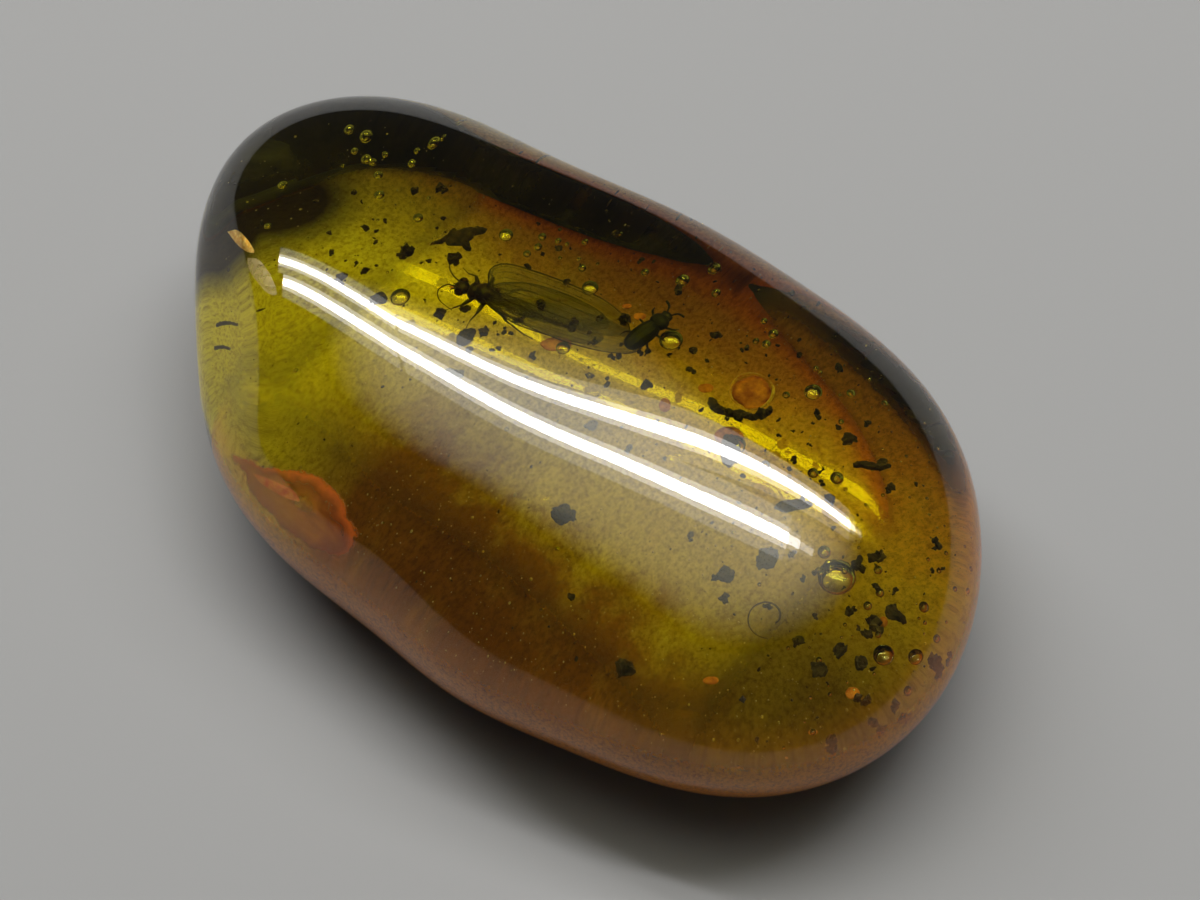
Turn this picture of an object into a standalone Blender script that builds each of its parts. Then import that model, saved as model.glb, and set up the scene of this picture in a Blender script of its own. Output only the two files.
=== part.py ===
"""A polished pebble of amber with a winged insect, a small beetle and plant debris sealed in it.

Metres, +Z up. The origin is the middle of the flat underside's plan box, +X runs along the
pebble towards its broad round end. The amber is parted in two along the layer that holds the
inclusions, and each inclusion lies in a box-shaped pocket that is turned with it.
"""

import math

import bmesh
import bpy
from mathutils import Matrix, Vector, noise

MM = 0.001

# The pebble's plan: control radii of a closed cubic B-spline, one every 22.5 degrees from +X.
OUTLINE_RADII = (23, 21, 18.5, 14, 12.5, 11.5, 14, 21, 24, 18.5, 17, 14.5, 13, 14.5, 16, 21.5)
# Towards the crown the plan eases into this ellipse, and the crown stands off centre.
CROWN_HALF_LENGTH = 24.5 * MM
CROWN_HALF_WIDTH = 10.5 * MM
CROWN_SHIFT_X = -3.0 * MM
CROWN_SHIFT_Y = 0.7 * MM
# Fullness of the dome over an ellipsoid, along and across.
FULLNESS_X = 0.45
FULLNESS_Y = 0.95
GIRDLE_HEIGHT = 6.5 * MM
DOME_HEIGHT = 8.5 * MM
# A flat polished on the end with the threads: its facing, distance from the origin and softness.
END_FLAT_BEARING = 235.0
END_FLAT_ELEVATION = 34.0
END_FLAT_DISTANCE = 18.25 * MM
END_FLAT_SOFTNESS = 0.5 * MM
# Cuts across each side of the cube from which the pebble is blown up.
STONE_GRID = 16

# The flow layer on which the inclusions lie, and on which the two pieces of amber part.
FLOW_HEIGHT = 7.5 * MM
FLOW_RISE_X = 0.03
FLOW_RISE_Y = -0.06
PARTING_GAP = 0.3 * MM
POCKET_CLEARANCE = 0.35 * MM

# The winged insect, in its own axes: u from head to tail, v to its left, w up.
INSECT_PLACE = (-6.3 * MM, 1.8 * MM)
INSECT_LIFT = -0.45 * MM
INSECT_HEADING = 22.0
INSECT_TAIL_DROP = 3.5
ABDOMEN_START = 0.5 * MM
ABDOMEN_STEP = 0.55 * MM
ABDOMEN_SEGMENTS = 8
ABDOMEN_HALF_WIDTH = 0.46 * MM
ABDOMEN_FLATNESS = 0.8
ABDOMEN_LIFT = -0.15 * MM
WING_THICKNESS = 0.08 * MM
LEG_RADIUS = 0.075 * MM
ANTENNA_RADIUS = 0.06 * MM

# The small beetle, with its head towards the far side.
BEETLE_PLACE = (0.8 * MM, 5.0 * MM)
BEETLE_LIFT = 0.5 * MM
BEETLE_HEADING = 265.0

# Bubbles on the flow layer: x, y and radius in mm.
BUBBLES = (
    (15.1, 1.3, 0.75),
    (2.3, 6.9, 0.5),
    (-8.0, 5.4, 0.35),
    (12.8, 4.4, 0.4),
    (14.2, 2.9, 0.4),
)

# Dark flecks: x, y, length, width and height in mm, then heading in degrees.
FLECKS = (
    (4.2, -4.1, 1.3, 0.7, 0.5, 16),
    (11.5, 2.6, 1.7, 0.5, 0.4, 52),
    (12.6, 6.5, 1.5, 0.4, 0.4, 46),
    (10.9, 6.8, 0.6, 0.5, 0.4, 20),
    (13.9, 6.2, 0.6, 0.4, 0.4, 80),
    (18.2, 1.8, 1.1, 0.6, 0.5, 10),
    (11.6, -1.9, 0.9, 0.6, 0.4, 60),
    (12.5, -0.1, 0.9, 0.6, 0.4, 100),
    (11.4, -7.8, 0.8, 0.6, 0.5, 70),
    (17.6, -2.5, 0.7, 0.5, 0.4, 30),
    (18.8, -1.0, 0.6, 0.4, 0.4, 120),
    (2.6, 2.9, 0.6, 0.4, 0.4, 40),
    (2.2, -0.3, 0.6, 0.4, 0.3, 75),
    (15.8, 3.2, 0.8, 0.4, 0.4, 55),
    (-9.8, -1.6, 0.6, 0.5, 0.4, 35),
    (-5.3, -0.6, 1.0, 0.6, 0.5, 110),
    (-4.4, -2.2, 0.9, 0.4, 0.3, 15),
)

# How deep a lump of debris is roughened, as a share of its half height, and how coarsely.
LUMP_ROUGHNESS = 0.35
LUMP_COARSENESS = 0.45 * MM
# Without a seed of its own, the noise that roughens them would differ on every run.
NOISE_SEED = 5
DEBRIS_PLACES = {
    "bark_fragment": (-9.4 * MM, 3.3 * MM, 0.0, 59),
    "debris_clump": (6.75 * MM, 4.45 * MM, 0.1 * MM, 213),
    "droppings_pellet": (7.7 * MM, 2.9 * MM, -0.1 * MM, -53),
}

# Plant threads: x, y and half length in mm, heading in degrees, thickness in mm.
THREADS = ((-14.35, -5.7, 0.9, 37, 0.2), (-13.85, -7.1, 0.68, 36, 0.18))
HAIR_PLACE = (14.4, -2.0)
HAIR_RADIUS = 0.06 * MM

# Colour, roughness and metallic value of each finish.
FINISHES = {
    "amber": ((0.62, 0.36, 0.04), 0.03, 0.0),
    "insect": ((0.07, 0.035, 0.015), 0.45, 0.0),
    "beetle": ((0.015, 0.018, 0.016), 0.3, 0.0),
    "debris": ((0.03, 0.02, 0.012), 0.8, 0.0),
}


def clear_scene():
    for obj in list(bpy.data.objects):
        bpy.data.objects.remove(obj, do_unlink=True)


def finish(name):
    """The material of this name, made at its first use."""
    made = bpy.data.materials.get(name)
    if made:
        return made
    colour, roughness, metallic = FINISHES[name]
    made = bpy.data.materials.new(name)
    made.use_nodes = True
    shader = made.node_tree.nodes["Principled BSDF"]
    shader.inputs["Base Color"].default_value = (*colour, 1.0)
    shader.inputs["Roughness"].default_value = roughness
    shader.inputs["Metallic"].default_value = metallic
    return made


def new_object(name, bm, material):
    """A smooth-shaded object from a bmesh, which is freed."""
    bmesh.ops.recalc_face_normals(bm, faces=bm.faces)
    mesh = bpy.data.meshes.new(name)
    bm.to_mesh(mesh)
    bm.free()
    mesh.materials.append(finish(material))
    mesh.shade_smooth()
    mesh.set_sharp_from_angle(angle=math.radians(40))
    obj = bpy.data.objects.new(name, mesh)
    bpy.context.scene.collection.objects.link(obj)
    return obj


def as_helper(obj):
    """Leaves an object out of the model: it only cuts or joins another."""
    obj.hide_render = True
    obj.display_type = "WIRE"
    return obj


def outline_radius(bearing):
    """The plan's radius at this bearing, from the uniform cubic B-spline through OUTLINE_RADII."""
    count = len(OUTLINE_RADII)
    place = (bearing / math.tau) % 1.0 * count
    span = int(place)
    f = place - span
    weights = (
        (1 - f) ** 3,
        3 * f**3 - 6 * f**2 + 4,
        -3 * f**3 + 3 * f**2 + 3 * f + 1,
        f**3,
    )
    near = (OUTLINE_RADII[(span + k - 1) % count] for k in range(4))
    return MM * sum(w * r for w, r in zip(weights, near)) / 6


def soft_excess(value, softness):
    """Zero below -softness, the value itself above softness, and a smooth bend between."""
    if value <= -softness:
        return 0.0
    if value >= softness:
        return value
    return (value + softness) ** 2 / (4 * softness)


def stone_point(ball):
    """Where a point of the unit ball lies on the pebble, before its underside is cut flat."""
    edge = ball.x**2 + ball.y**2
    outline = outline_radius(math.atan2(ball.y, ball.x))
    rise = ball.z * math.sqrt(1 + FULLNESS_X * ball.x**2 + FULLNESS_Y * ball.y**2)
    point = Vector(
        (
            ball.x * ((1 - edge) * CROWN_HALF_LENGTH + edge * outline) + CROWN_SHIFT_X * rise**2,
            ball.y * ((1 - edge) * CROWN_HALF_WIDTH + edge * outline) + CROWN_SHIFT_Y * rise**2,
            GIRDLE_HEIGHT + DOME_HEIGHT * rise,
        )
    )
    bearing, elevation = math.radians(END_FLAT_BEARING), math.radians(END_FLAT_ELEVATION)
    facing = Vector(
        (
            math.cos(bearing) * math.cos(elevation),
            math.sin(bearing) * math.cos(elevation),
            math.sin(elevation),
        )
    )
    over = soft_excess(facing.dot(point) - END_FLAT_DISTANCE, END_FLAT_SOFTNESS)
    return point - facing * over


def stone_mesh():
    """The whole pebble as a cube of even squares, blown up to a ball and laid on the pebble."""
    bm = bmesh.new()
    bmesh.ops.create_cube(bm, size=2)
    bmesh.ops.subdivide_edges(bm, edges=bm.edges[:], cuts=STONE_GRID, use_grid_fill=True)
    for vert in bm.verts:
        even = Vector([math.tan(c * math.pi / 4) for c in vert.co])
        vert.co = stone_point(even.normalized())
    xs = [vert.co.x for vert in bm.verts]
    ys = [vert.co.y for vert in bm.verts]
    middle = Vector(((min(xs) + max(xs)) / 2, (min(ys) + max(ys)) / 2, 0))
    bmesh.ops.translate(bm, verts=bm.verts, vec=-middle)
    return bm


def keep_side(bm, point, normal):
    """Cuts a closed mesh by a plane, keeps what the normal points to, and closes the cut."""
    geometry = bm.verts[:] + bm.edges[:] + bm.faces[:]
    bmesh.ops.bisect_plane(bm, geom=geometry, plane_co=point, plane_no=normal, clear_inner=True)
    rim = [edge for edge in bm.edges if edge.is_boundary]
    bmesh.ops.contextual_create(bm, geom=rim)


def flow_point(x, y, lift=0.0):
    return Vector((x, y, FLOW_HEIGHT + FLOW_RISE_X * x + FLOW_RISE_Y * y + lift))


def placed(x, y, lift, heading, pitch=0.0):
    """The matrix that lays an inclusion on the flow layer, turned to its heading."""
    turn = Matrix.Rotation(math.radians(heading), 4, "Z") @ Matrix.Rotation(math.radians(pitch), 4, "Y")
    return Matrix.Translation(flow_point(x, y, lift)) @ turn


def add_ball(bm, centre, half_sizes):
    """A round lump of the given half sizes, in mm."""
    matrix = Matrix.Translation(Vector(centre) * MM)
    matrix = matrix @ Matrix.Diagonal((*(Vector(half_sizes) * MM), 1.0))
    bmesh.ops.create_icosphere(bm, subdivisions=2, radius=1, matrix=matrix)


def ring_points(centre, along, radii, sides):
    """Points round a centre, square to a direction that isn't upright."""
    side = Vector((-along.y, along.x, 0)).normalized()
    up = along.cross(side).normalized()
    turns = (math.tau * k / sides for k in range(sides))
    return [centre + side * radii[0] * math.cos(t) + up * radii[1] * math.sin(t) for t in turns]


def add_tube(bm, points, radii, sides):
    """A closed tube through points, in metres, with a (width, height) radius at each of them."""
    rings = []
    for k, point in enumerate(points):
        along = (points[min(k + 1, len(points) - 1)] - points[max(k - 1, 0)]).normalized()
        rings.append([bm.verts.new(p) for p in ring_points(point, along, radii[k], sides)])
    for a, b in zip(rings, rings[1:]):
        for k in range(sides):
            n = (k + 1) % sides
            bm.faces.new((a[k], a[n], b[n], b[k]))
    bm.faces.new(rings[0][::-1])
    bm.faces.new(rings[-1])


def add_taper(bm, points, start, end, sides=5):
    """A tube through points given in mm, whose radius goes evenly from start to end."""
    points = [Vector(p) * MM for p in points]
    last = len(points) - 1
    radii = [(start + (end - start) * k / last,) * 2 for k in range(len(points))]
    add_tube(bm, points, radii, sides)


def add_plate(bm, outline, thickness):
    """A thin closed plate with this outline, given in mm as (u, v, w)."""
    lift = Vector((0, 0, thickness / 2))
    top = [bm.verts.new(Vector(p) * MM + lift) for p in outline]
    low = [bm.verts.new(Vector(p) * MM - lift) for p in outline]
    bm.faces.new(top)
    bm.faces.new(low[::-1])
    for k in range(len(outline)):
        n = (k + 1) % len(outline)
        bm.faces.new((top[n], top[k], low[k], low[n]))


def joined(name, builders, material, matrix):
    """One solid from overlapping closed shapes, each drawn by a builder into its own mesh."""
    collection = bpy.data.collections.new(name + "_shapes")
    bpy.context.scene.collection.children.link(collection)
    shapes = []
    for k, builder in enumerate(builders):
        bm = bmesh.new()
        builder(bm)
        shapes.append(new_object(name if k == 0 else f"{name}_shape_{k}", bm, material))
        shapes[k].matrix_world = matrix
    for shape in shapes[1:]:
        bpy.context.scene.collection.objects.unlink(shape)
        collection.objects.link(as_helper(shape))
    if len(shapes) > 1:
        union = shapes[0].modifiers.new("one_body", "BOOLEAN")
        union.operation = "UNION"
        union.operand_type = "COLLECTION"
        union.collection = collection
    return shapes[0]


def wing_outline(root, lead, tip, trail, height):
    """A wing's rim: from its root along the leading edge, round the tip and back."""
    return [(u, v, height) for u, v in (*root, *lead, *tip, *trail)]


def insect_wings():
    """Two fore wings folded over two hind wings, all rooted in the thorax."""
    fore_left = wing_outline(
        ((0.3, 0.1), (-0.1, 0.4)),
        ((-0.35, 1.1), (0.0, 1.65), (0.8, 1.85), (2.4, 1.85), (4.0, 1.75), (5.2, 1.55)),
        ((6.2, 1.15), (6.8, 0.65), (6.9, 0.3), (6.6, 0.0)),
        ((5.4, -0.3), (3.8, -0.4), (2.0, -0.25), (0.9, -0.1)),
        0.58,
    )
    fore_right = wing_outline(
        ((0.9, 0.1), (0.3, -0.1), (-0.1, -0.4)),
        ((0.4, -0.7), (1.6, -0.95), (3.0, -1.15), (4.6, -1.2), (6.0, -1.05)),
        ((7.1, -0.75), (7.6, -0.4), (7.7, -0.05), (7.3, 0.3)),
        ((6.2, 0.6), (4.6, 0.65), (2.6, 0.45)),
        0.46,
    )
    hind_left = wing_outline(
        ((0.9, 0.1), (0.3, 0.1), (0.0, 0.35)),
        ((0.5, 0.8), (1.8, 1.25), (3.4, 1.3), (4.8, 1.1)),
        ((5.6, 0.8), (5.9, 0.45), (5.7, 0.1)),
        ((4.4, -0.15), (2.4, -0.1)),
        0.34,
    )
    hind_right = [(u, -0.85 * v, 0.22) for u, v, _ in hind_left]
    return [
        lambda bm, rim=rim: add_plate(bm, rim, WING_THICKNESS)
        for rim in (fore_left, fore_right, hind_left, hind_right)
    ]


def add_abdomen(bm):
    """Tapering segments behind the thorax, each widest towards its hind rim."""
    points, radii = [], []
    for k in range(ABDOMEN_SEGMENTS):
        start = ABDOMEN_START + ABDOMEN_STEP * k
        swell = math.sin(math.pi * (0.3 + 0.6 * k / (ABDOMEN_SEGMENTS - 1)))
        for step, share in ((0.0, 0.9), (0.55 * ABDOMEN_STEP, 1.0)):
            half = ABDOMEN_HALF_WIDTH * (swell + 0.06) * share
            points.append(Vector((start + step, 0, ABDOMEN_LIFT)))
            radii.append((half, ABDOMEN_FLATNESS * half))
    add_tube(bm, points, radii, 8)


def insect_leg(side, root_u, knee, ankle, toe):
    """One leg, from under the thorax up to its knee and down to its toe."""
    points = [(root_u, 0.2 * side, -0.2)]
    points += [(u, v * side, w) for u, v, w in (knee, ankle, toe)]
    return lambda bm: add_taper(bm, points, LEG_RADIUS, 0.5 * LEG_RADIUS)


def insect_antenna(*route):
    """A thin antenna along a route of (u, v) points, rising a little before its middle."""
    points = [(u, v, w) for (u, v), w in zip(route, (0.2, 0.3, 0.28, 0.2, 0.1))]
    return lambda bm: add_taper(bm, points, ANTENNA_RADIUS, 0.5 * ANTENNA_RADIUS)


def winged_insect():
    body = [
        lambda bm: add_ball(bm, (0.05, 0, 0.1), (0.85, 0.6, 0.55)),
        lambda bm: add_ball(bm, (-0.72, 0, 0.05), (0.32, 0.5, 0.42)),
        lambda bm: add_ball(bm, (-1.25, 0, 0.0), (0.4, 0.45, 0.36)),
        lambda bm: add_ball(bm, (-1.3, 0.34, 0.05), (0.22, 0.2, 0.25)),
        lambda bm: add_ball(bm, (-1.3, -0.34, 0.05), (0.22, 0.2, 0.25)),
        add_abdomen,
    ]
    antennae = [
        insect_antenna((-1.4, 0.15), (-1.85, 0.35), (-2.2, 0.75), (-2.2, 1.25), (-1.9, 1.6)),
        insect_antenna((-1.4, -0.15), (-1.9, -0.2), (-2.2, -0.6), (-1.95, -1.05), (-1.2, -1.35)),
    ]
    legs = []
    for side in (1, -1):
        legs += [
            insect_leg(side, -0.5, (-0.9, 0.85, -0.1), (-1.3, 1.0, -0.55), (-1.7, 1.25, -0.6)),
            insect_leg(side, 0.0, (-0.1, 1.05, -0.1), (-0.3, 1.35, -0.6), (-0.3, 1.8, -0.65)),
            insect_leg(side, 0.5, (1.3, 0.95, -0.15), (2.2, 1.15, -0.6), (2.8, 1.25, -0.65)),
        ]
    matrix = placed(*INSECT_PLACE, INSECT_LIFT, INSECT_HEADING, INSECT_TAIL_DROP)
    return joined("winged_insect", body + insect_wings() + antennae + legs, "insect", matrix)


def beetle_leg(side, root, toe):
    """A short leg from under the body, with its root and toe given along the body in mm."""
    points = (
        (root, 0.25 * side, -0.2),
        ((root + toe) / 2, 0.72 * side, -0.2),
        (toe, 0.85 * side, -0.36),
    )
    return lambda bm: add_taper(bm, points, LEG_RADIUS, 0.5 * LEG_RADIUS, 4)


def beetle_feeler(side):
    points = ((-1.25, 0.12 * side, 0.05), (-1.6, 0.3 * side, 0.1), (-1.65, 0.6 * side, 0.05))
    return lambda bm: add_taper(bm, points, ANTENNA_RADIUS, ANTENNA_RADIUS, 4)


def small_beetle():
    """A capsule-shaped beetle: wing cases, pronotum, head, six short legs and two feelers."""
    shapes = [
        lambda bm: add_ball(bm, (0.3, 0, 0), (1.0, 0.52, 0.4)),
        lambda bm: add_ball(bm, (-0.7, 0, 0), (0.45, 0.48, 0.36)),
        lambda bm: add_ball(bm, (-1.12, 0, -0.05), (0.26, 0.3, 0.24)),
    ]
    for side in (1, -1):
        shapes += [beetle_leg(side, *leg) for leg in ((-0.7, -1.15), (-0.2, -0.3), (0.3, 0.9))]
        shapes.append(beetle_feeler(side))
    matrix = placed(*BEETLE_PLACE, BEETLE_LIFT, BEETLE_HEADING)
    return joined("small_beetle", shapes, "beetle", matrix)


def roughen(bm, amount, coarseness, seed):
    """Pushes each point of a mesh by smooth noise, to make a natural lump."""
    for vert in bm.verts:
        vert.co += noise.noise_vector(vert.co / coarseness + Vector((seed, 0, 0))) * amount


def rough_lump(centre, half_sizes, heading, seed):
    """A builder for a broken piece of plant matter, centred and turned within its group, in mm."""

    def build(bm):
        add_ball(bm, (0, 0, 0), half_sizes)
        roughen(bm, LUMP_ROUGHNESS * min(half_sizes) * MM, LUMP_COARSENESS, seed)
        turn = Matrix.Translation(Vector(centre) * MM) @ Matrix.Rotation(math.radians(heading), 4, "Z")
        bmesh.ops.transform(bm, matrix=turn, verts=bm.verts)

    return build


def debris(name, shapes):
    return joined(name, shapes, "debris", placed(*DEBRIS_PLACES[name]))


def bark_fragment():
    """A dark, ragged shred of bark with three arms."""
    shapes = [
        rough_lump((0.0, 0.0, 0.0), (0.75, 0.5, 0.35), 10, 1.0),
        rough_lump((-0.95, 0.1, 0.0), (0.65, 0.2, 0.2), 12, 2.0),
        rough_lump((0.8, 0.15, 0.05), (0.6, 0.25, 0.22), -15, 3.0),
        rough_lump((0.15, -0.5, -0.05), (0.25, 0.4, 0.22), 0, 4.0),
    ]
    return debris("bark_fragment", shapes)


def debris_clump():
    """Matted plant debris, bent like a bow."""
    shapes = []
    for k in range(5):
        turn = math.radians(-60 + 30 * k)
        centre = (1.35 * math.sin(turn), 0.75 * math.cos(turn) - 0.75, 0.05 * (k % 2))
        shapes.append(rough_lump(centre, (0.5, 0.3, 0.26), -math.degrees(turn), 10.0 + k))
    return debris("debris_clump", shapes)


def droppings_pellet():
    """A crumbly oval pellet beside the clump."""
    return debris("droppings_pellet", [rough_lump((0, 0, 0), (0.85, 0.5, 0.42), 0, 20.0)])


def dark_fleck(number, x, y, length, width, height, heading):
    shape = rough_lump((0, 0, 0), (length / 2, width / 2, height / 2), 0, 30.0 + number)
    return joined(f"dark_fleck_{number:02d}", [shape], "debris", placed(x * MM, y * MM, 0, heading))


def fibre(name, points, radius, x, y, heading):
    """A plant fibre through points in its own axes, in mm."""
    matrix = placed(x * MM, y * MM, 0, heading)
    return joined(name, [lambda bm: add_taper(bm, points, radius, radius, 6)], "debris", matrix)


def plant_thread(number, x, y, half_length, heading, thickness):
    """A stiff, slightly bent piece of fibre."""
    points = ((-half_length, 0, 0), (0, 0.08, 0.05), (half_length, 0, 0))
    return fibre(f"plant_thread_{number}", points, thickness / 2 * MM, x, y, heading)


def curled_hair():
    """A fibre that curls in a loose spiral."""
    points = []
    for k in range(13):
        turn = 0.45 * k
        reach = 0.35 + 0.06 * k
        points.append((reach * math.cos(turn), reach * math.sin(turn), 0.02 * k - 0.12))
    return fibre("curled_hair", points, HAIR_RADIUS, *HAIR_PLACE, 0)


def inclusions():
    """Every sealed piece, in a list."""
    found = [winged_insect(), small_beetle(), bark_fragment(), debris_clump(), droppings_pellet()]
    found += [dark_fleck(number, *fleck) for number, fleck in enumerate(FLECKS, 1)]
    found += [plant_thread(number, *thread) for number, thread in enumerate(THREADS, 1)]
    return found + [curled_hair()]


def pocket_round(obj, graph):
    """A box in an inclusion's own axes, clear of it on all sides."""
    corners = [Vector(corner) for corner in obj.evaluated_get(graph).bound_box]
    low = Vector([min(c[k] for c in corners) - POCKET_CLEARANCE for k in range(3)])
    high = Vector([max(c[k] for c in corners) + POCKET_CLEARANCE for k in range(3)])
    bm = bmesh.new()
    matrix = Matrix.Translation((low + high) / 2) @ Matrix.Diagonal((*(high - low), 1.0))
    bmesh.ops.create_cube(bm, size=1, matrix=matrix)
    pocket = new_object("pocket_" + obj.name, bm, "amber")
    pocket.matrix_world = obj.matrix_world
    return as_helper(pocket)


def bubble(x, y, radius):
    bm = bmesh.new()
    centre = flow_point(x * MM, y * MM)
    bmesh.ops.create_icosphere(bm, subdivisions=2, radius=radius * MM, matrix=Matrix.Translation(centre))
    return as_helper(new_object("bubble", bm, "amber"))


def amber_piece(name, side, pockets):
    """The amber on one side of the flow layer: side is 1 above it and -1 below it."""
    bm = stone_mesh()
    keep_side(bm, Vector((0, 0, 0)), Vector((0, 0, 1)))
    up = Vector((-FLOW_RISE_X, -FLOW_RISE_Y, 1)).normalized() * side
    keep_side(bm, flow_point(0, 0) + up * PARTING_GAP / 2, up)
    piece = new_object(name, bm, "amber")
    cut = piece.modifiers.new("pockets", "BOOLEAN")
    cut.operation = "DIFFERENCE"
    cut.operand_type = "COLLECTION"
    cut.collection = pockets
    return piece


def main():
    clear_scene()
    noise.seed_set(NOISE_SEED)
    sealed = inclusions()
    graph = bpy.context.evaluated_depsgraph_get()
    pockets = bpy.data.collections.new("pockets")
    bpy.context.scene.collection.children.link(pockets)
    cutters = [pocket_round(obj, graph) for obj in sealed] + [bubble(*b) for b in BUBBLES]
    for cutter in cutters:
        bpy.context.scene.collection.objects.unlink(cutter)
        pockets.objects.link(cutter)
    amber_piece("amber_upper", 1, pockets)
    amber_piece("amber_lower", -1, pockets)


main()
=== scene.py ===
"""Insect in amber: the clear stone, what is sealed in it, a pale floor, soft light and the camera.

Sizes are in millimetres and turned into metres when a mesh is finished. Places that were read in
the photograph are pixels of its 1200 x 900 frame, carried through the stone's surface to the
layer on which the inclusions lie.
"""

import math
import random

import bmesh
import bpy
import numpy as np
from mathutils import Matrix, Vector, noise
from mathutils.bvhtree import BVHTree


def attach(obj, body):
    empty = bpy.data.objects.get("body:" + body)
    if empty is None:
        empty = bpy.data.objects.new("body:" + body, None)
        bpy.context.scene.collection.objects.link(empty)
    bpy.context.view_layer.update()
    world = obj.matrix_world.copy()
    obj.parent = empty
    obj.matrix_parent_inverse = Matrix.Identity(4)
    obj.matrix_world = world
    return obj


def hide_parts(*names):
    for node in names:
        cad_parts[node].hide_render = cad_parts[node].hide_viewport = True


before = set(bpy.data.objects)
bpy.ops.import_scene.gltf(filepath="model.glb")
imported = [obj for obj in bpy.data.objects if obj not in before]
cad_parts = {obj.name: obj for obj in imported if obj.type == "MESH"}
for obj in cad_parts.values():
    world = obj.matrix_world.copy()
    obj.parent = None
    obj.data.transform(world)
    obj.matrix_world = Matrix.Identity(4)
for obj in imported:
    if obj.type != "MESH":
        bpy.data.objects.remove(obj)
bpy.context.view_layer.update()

MM = 0.001
# Without a seed of its own, the noise that shapes the debris would differ on every run.
NOISE_SEED = 5

# The photograph's view of the stone.
PHOTO_SIZE = (1200, 900)
FOCAL_PIXELS = 3296.0
AZIMUTH = 42.0
ELEVATION = 58.0
CAMERA_DISTANCE = 160.0
AIM = Vector((1.36, 1.31, 5.0))
SENSOR_WIDTH = 36.0

# The stone, as the frame's solids have it, in mm.
OUTLINE_RADII = (23, 21, 18.5, 14, 12.5, 11.5, 14, 21, 24, 18.5, 17, 14.5, 13, 14.5, 16, 21.5)
CROWN_HALF_LENGTH = 24.5
CROWN_HALF_WIDTH = 10.5
CROWN_SHIFT_X = -3.0
CROWN_SHIFT_Y = 0.7
FULLNESS_X = 0.45
FULLNESS_Y = 0.95
GIRDLE_HEIGHT = 6.5
DOME_HEIGHT = 8.5
END_FLAT_BEARING = 235.0
END_FLAT_ELEVATION = 34.0
END_FLAT_DISTANCE = 18.25
END_FLAT_SOFTNESS = 0.5
BASE_SOFTNESS = 0.35
BASE_LIFT = 0.1
STONE_CELLS = 96
AMBER_IOR = 1.54
# Light lost on each metre of its way, in red, green and blue.
AMBER_LOSS = (50.0, 57.0, 300.0)

# The layer of resin on which the inclusions lie.
FLOW_HEIGHT = 7.5
FLOW_RISE_X = 0.03
FLOW_RISE_Y = -0.06

# Where the inclusions lie, as in the frame: (x, y), height over the layer, heading, drop of the tail.
INSECT_PLACE = ((-6.3, 1.8), -0.45, 22.0, 3.5)
BEETLE_PLACE = ((0.8, 5.0), 0.5, 265.0)
BARK_PLACE = ((-9.4, 3.3), 0, 59)
CLUMP_PLACE = ((6.75, 4.45), 0.1, 213)
PELLET_PLACE = ((7.7, 2.9), -0.1, -53)
HAIR_PLACE = ((14.4, -2.0), 0, 0)

# Round bubbles read in the photograph: x, y and radius in pixels.
BUBBLES = (
    (349, 129, 4.5), (366, 137, 6), (354, 151, 3.5), (366, 159, 5), (373, 162, 4), (385, 155, 3),
    (343, 166, 2), (417, 151, 3), (412, 163, 4), (433, 144, 5), (378, 175, 4.5), (379, 195, 5),
    (429, 198, 2), (418, 218, 5), (282, 185, 4), (267, 226, 3), (506, 235, 7), (542, 237, 4),
    (538, 247, 4), (527, 254, 4), (558, 241, 3), (585, 242, 3), (567, 244, 2), (560, 258, 2),
    (579, 259, 2), (582, 268, 4), (590, 288, 8), (645, 272, 3.5), (400, 297, 9), (671, 340, 11),
    (682, 281, 6), (714, 269, 5), (716, 293, 4), (764, 321, 3), (773, 334, 4.5), (766, 344, 4),
    (756, 341, 3), (816, 368, 2.5), (786, 395, 3.5), (813, 392, 8), (851, 393, 4), (885, 403, 3),
    (841, 422, 2.5), (735, 445, 10), (813, 473, 5), (765, 465, 4.5), (837, 478, 6), (824, 552, 6),
    (837, 577, 17), (880, 593, 4), (868, 606, 4), (878, 570, 4), (924, 607, 5), (939, 571, 2.5),
    (946, 553, 2), (955, 589, 2.5), (937, 639, 4), (884, 655, 10), (916, 657, 8), (878, 635, 3),
    (830, 694, 2), (819, 660, 3), (843, 755, 3), (563, 348, 7), (828, 563, 3),
    (846, 566, 4), (968, 591, 3), (971, 569, 2.5), (908, 691, 5), (813, 732, 3),
)
# Bubbles of this radius and more, in pixels, are flattened.
BUBBLE_FLAT_FROM = 7
BUBBLE_FLATNESS = 0.45
# Tiny bubbles, with radii in mm, are strewn on the layer, most of them right of this pixel.
TINY_BUBBLES = 90
TINY_RADII = (0.04, 0.1)
TINY_SEED = 41
TINY_FROM_PX = 780

# The weathered skin under the flat base; a dark sheet of painted shade up the flank that faces away from the
# camera; and a painted orange-red glow up the near and the broad flank.
BASE_SIDES = 144
BASE_RINGS = 28
BASE_MIDDLE = (-0.5, 0.3)
BASE_SKIN_LIFT = 0.04
SKIN_SHEET_DEPTH = 0.15
# The dark sheet of painted shade stands in for the shadowed floor seen through the far flank. These are its
# lower edge, fade, bearing and spread.
SHADE_SHEET_EDGE = (0.14, 0.06)
SHADE_SHEET_FADE = (4.4, 7.2)
SHADE_SHEET_BEARING = 128.0
SHADE_SHEET_SPREAD = (0.0, 0.45)
INNER_NEAR = (2.6, 4.6)
INNER_BROAD = (11.0, 13.5)
INNER_NARROW = (11.3, 13.3)
INNER_FADE = (2.0, 4.5)
# The painted orange-red glow up the near and the broad flank. These are its strength, where it starts, how it
# fades, and how it comes in up the rim.
FLANK_GLOW = 0.95
GLOW_FROM_X = -12
GLOW_FADE = (5.0, 10.5)
RIM_RISE = (0.3, 2.4)

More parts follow.
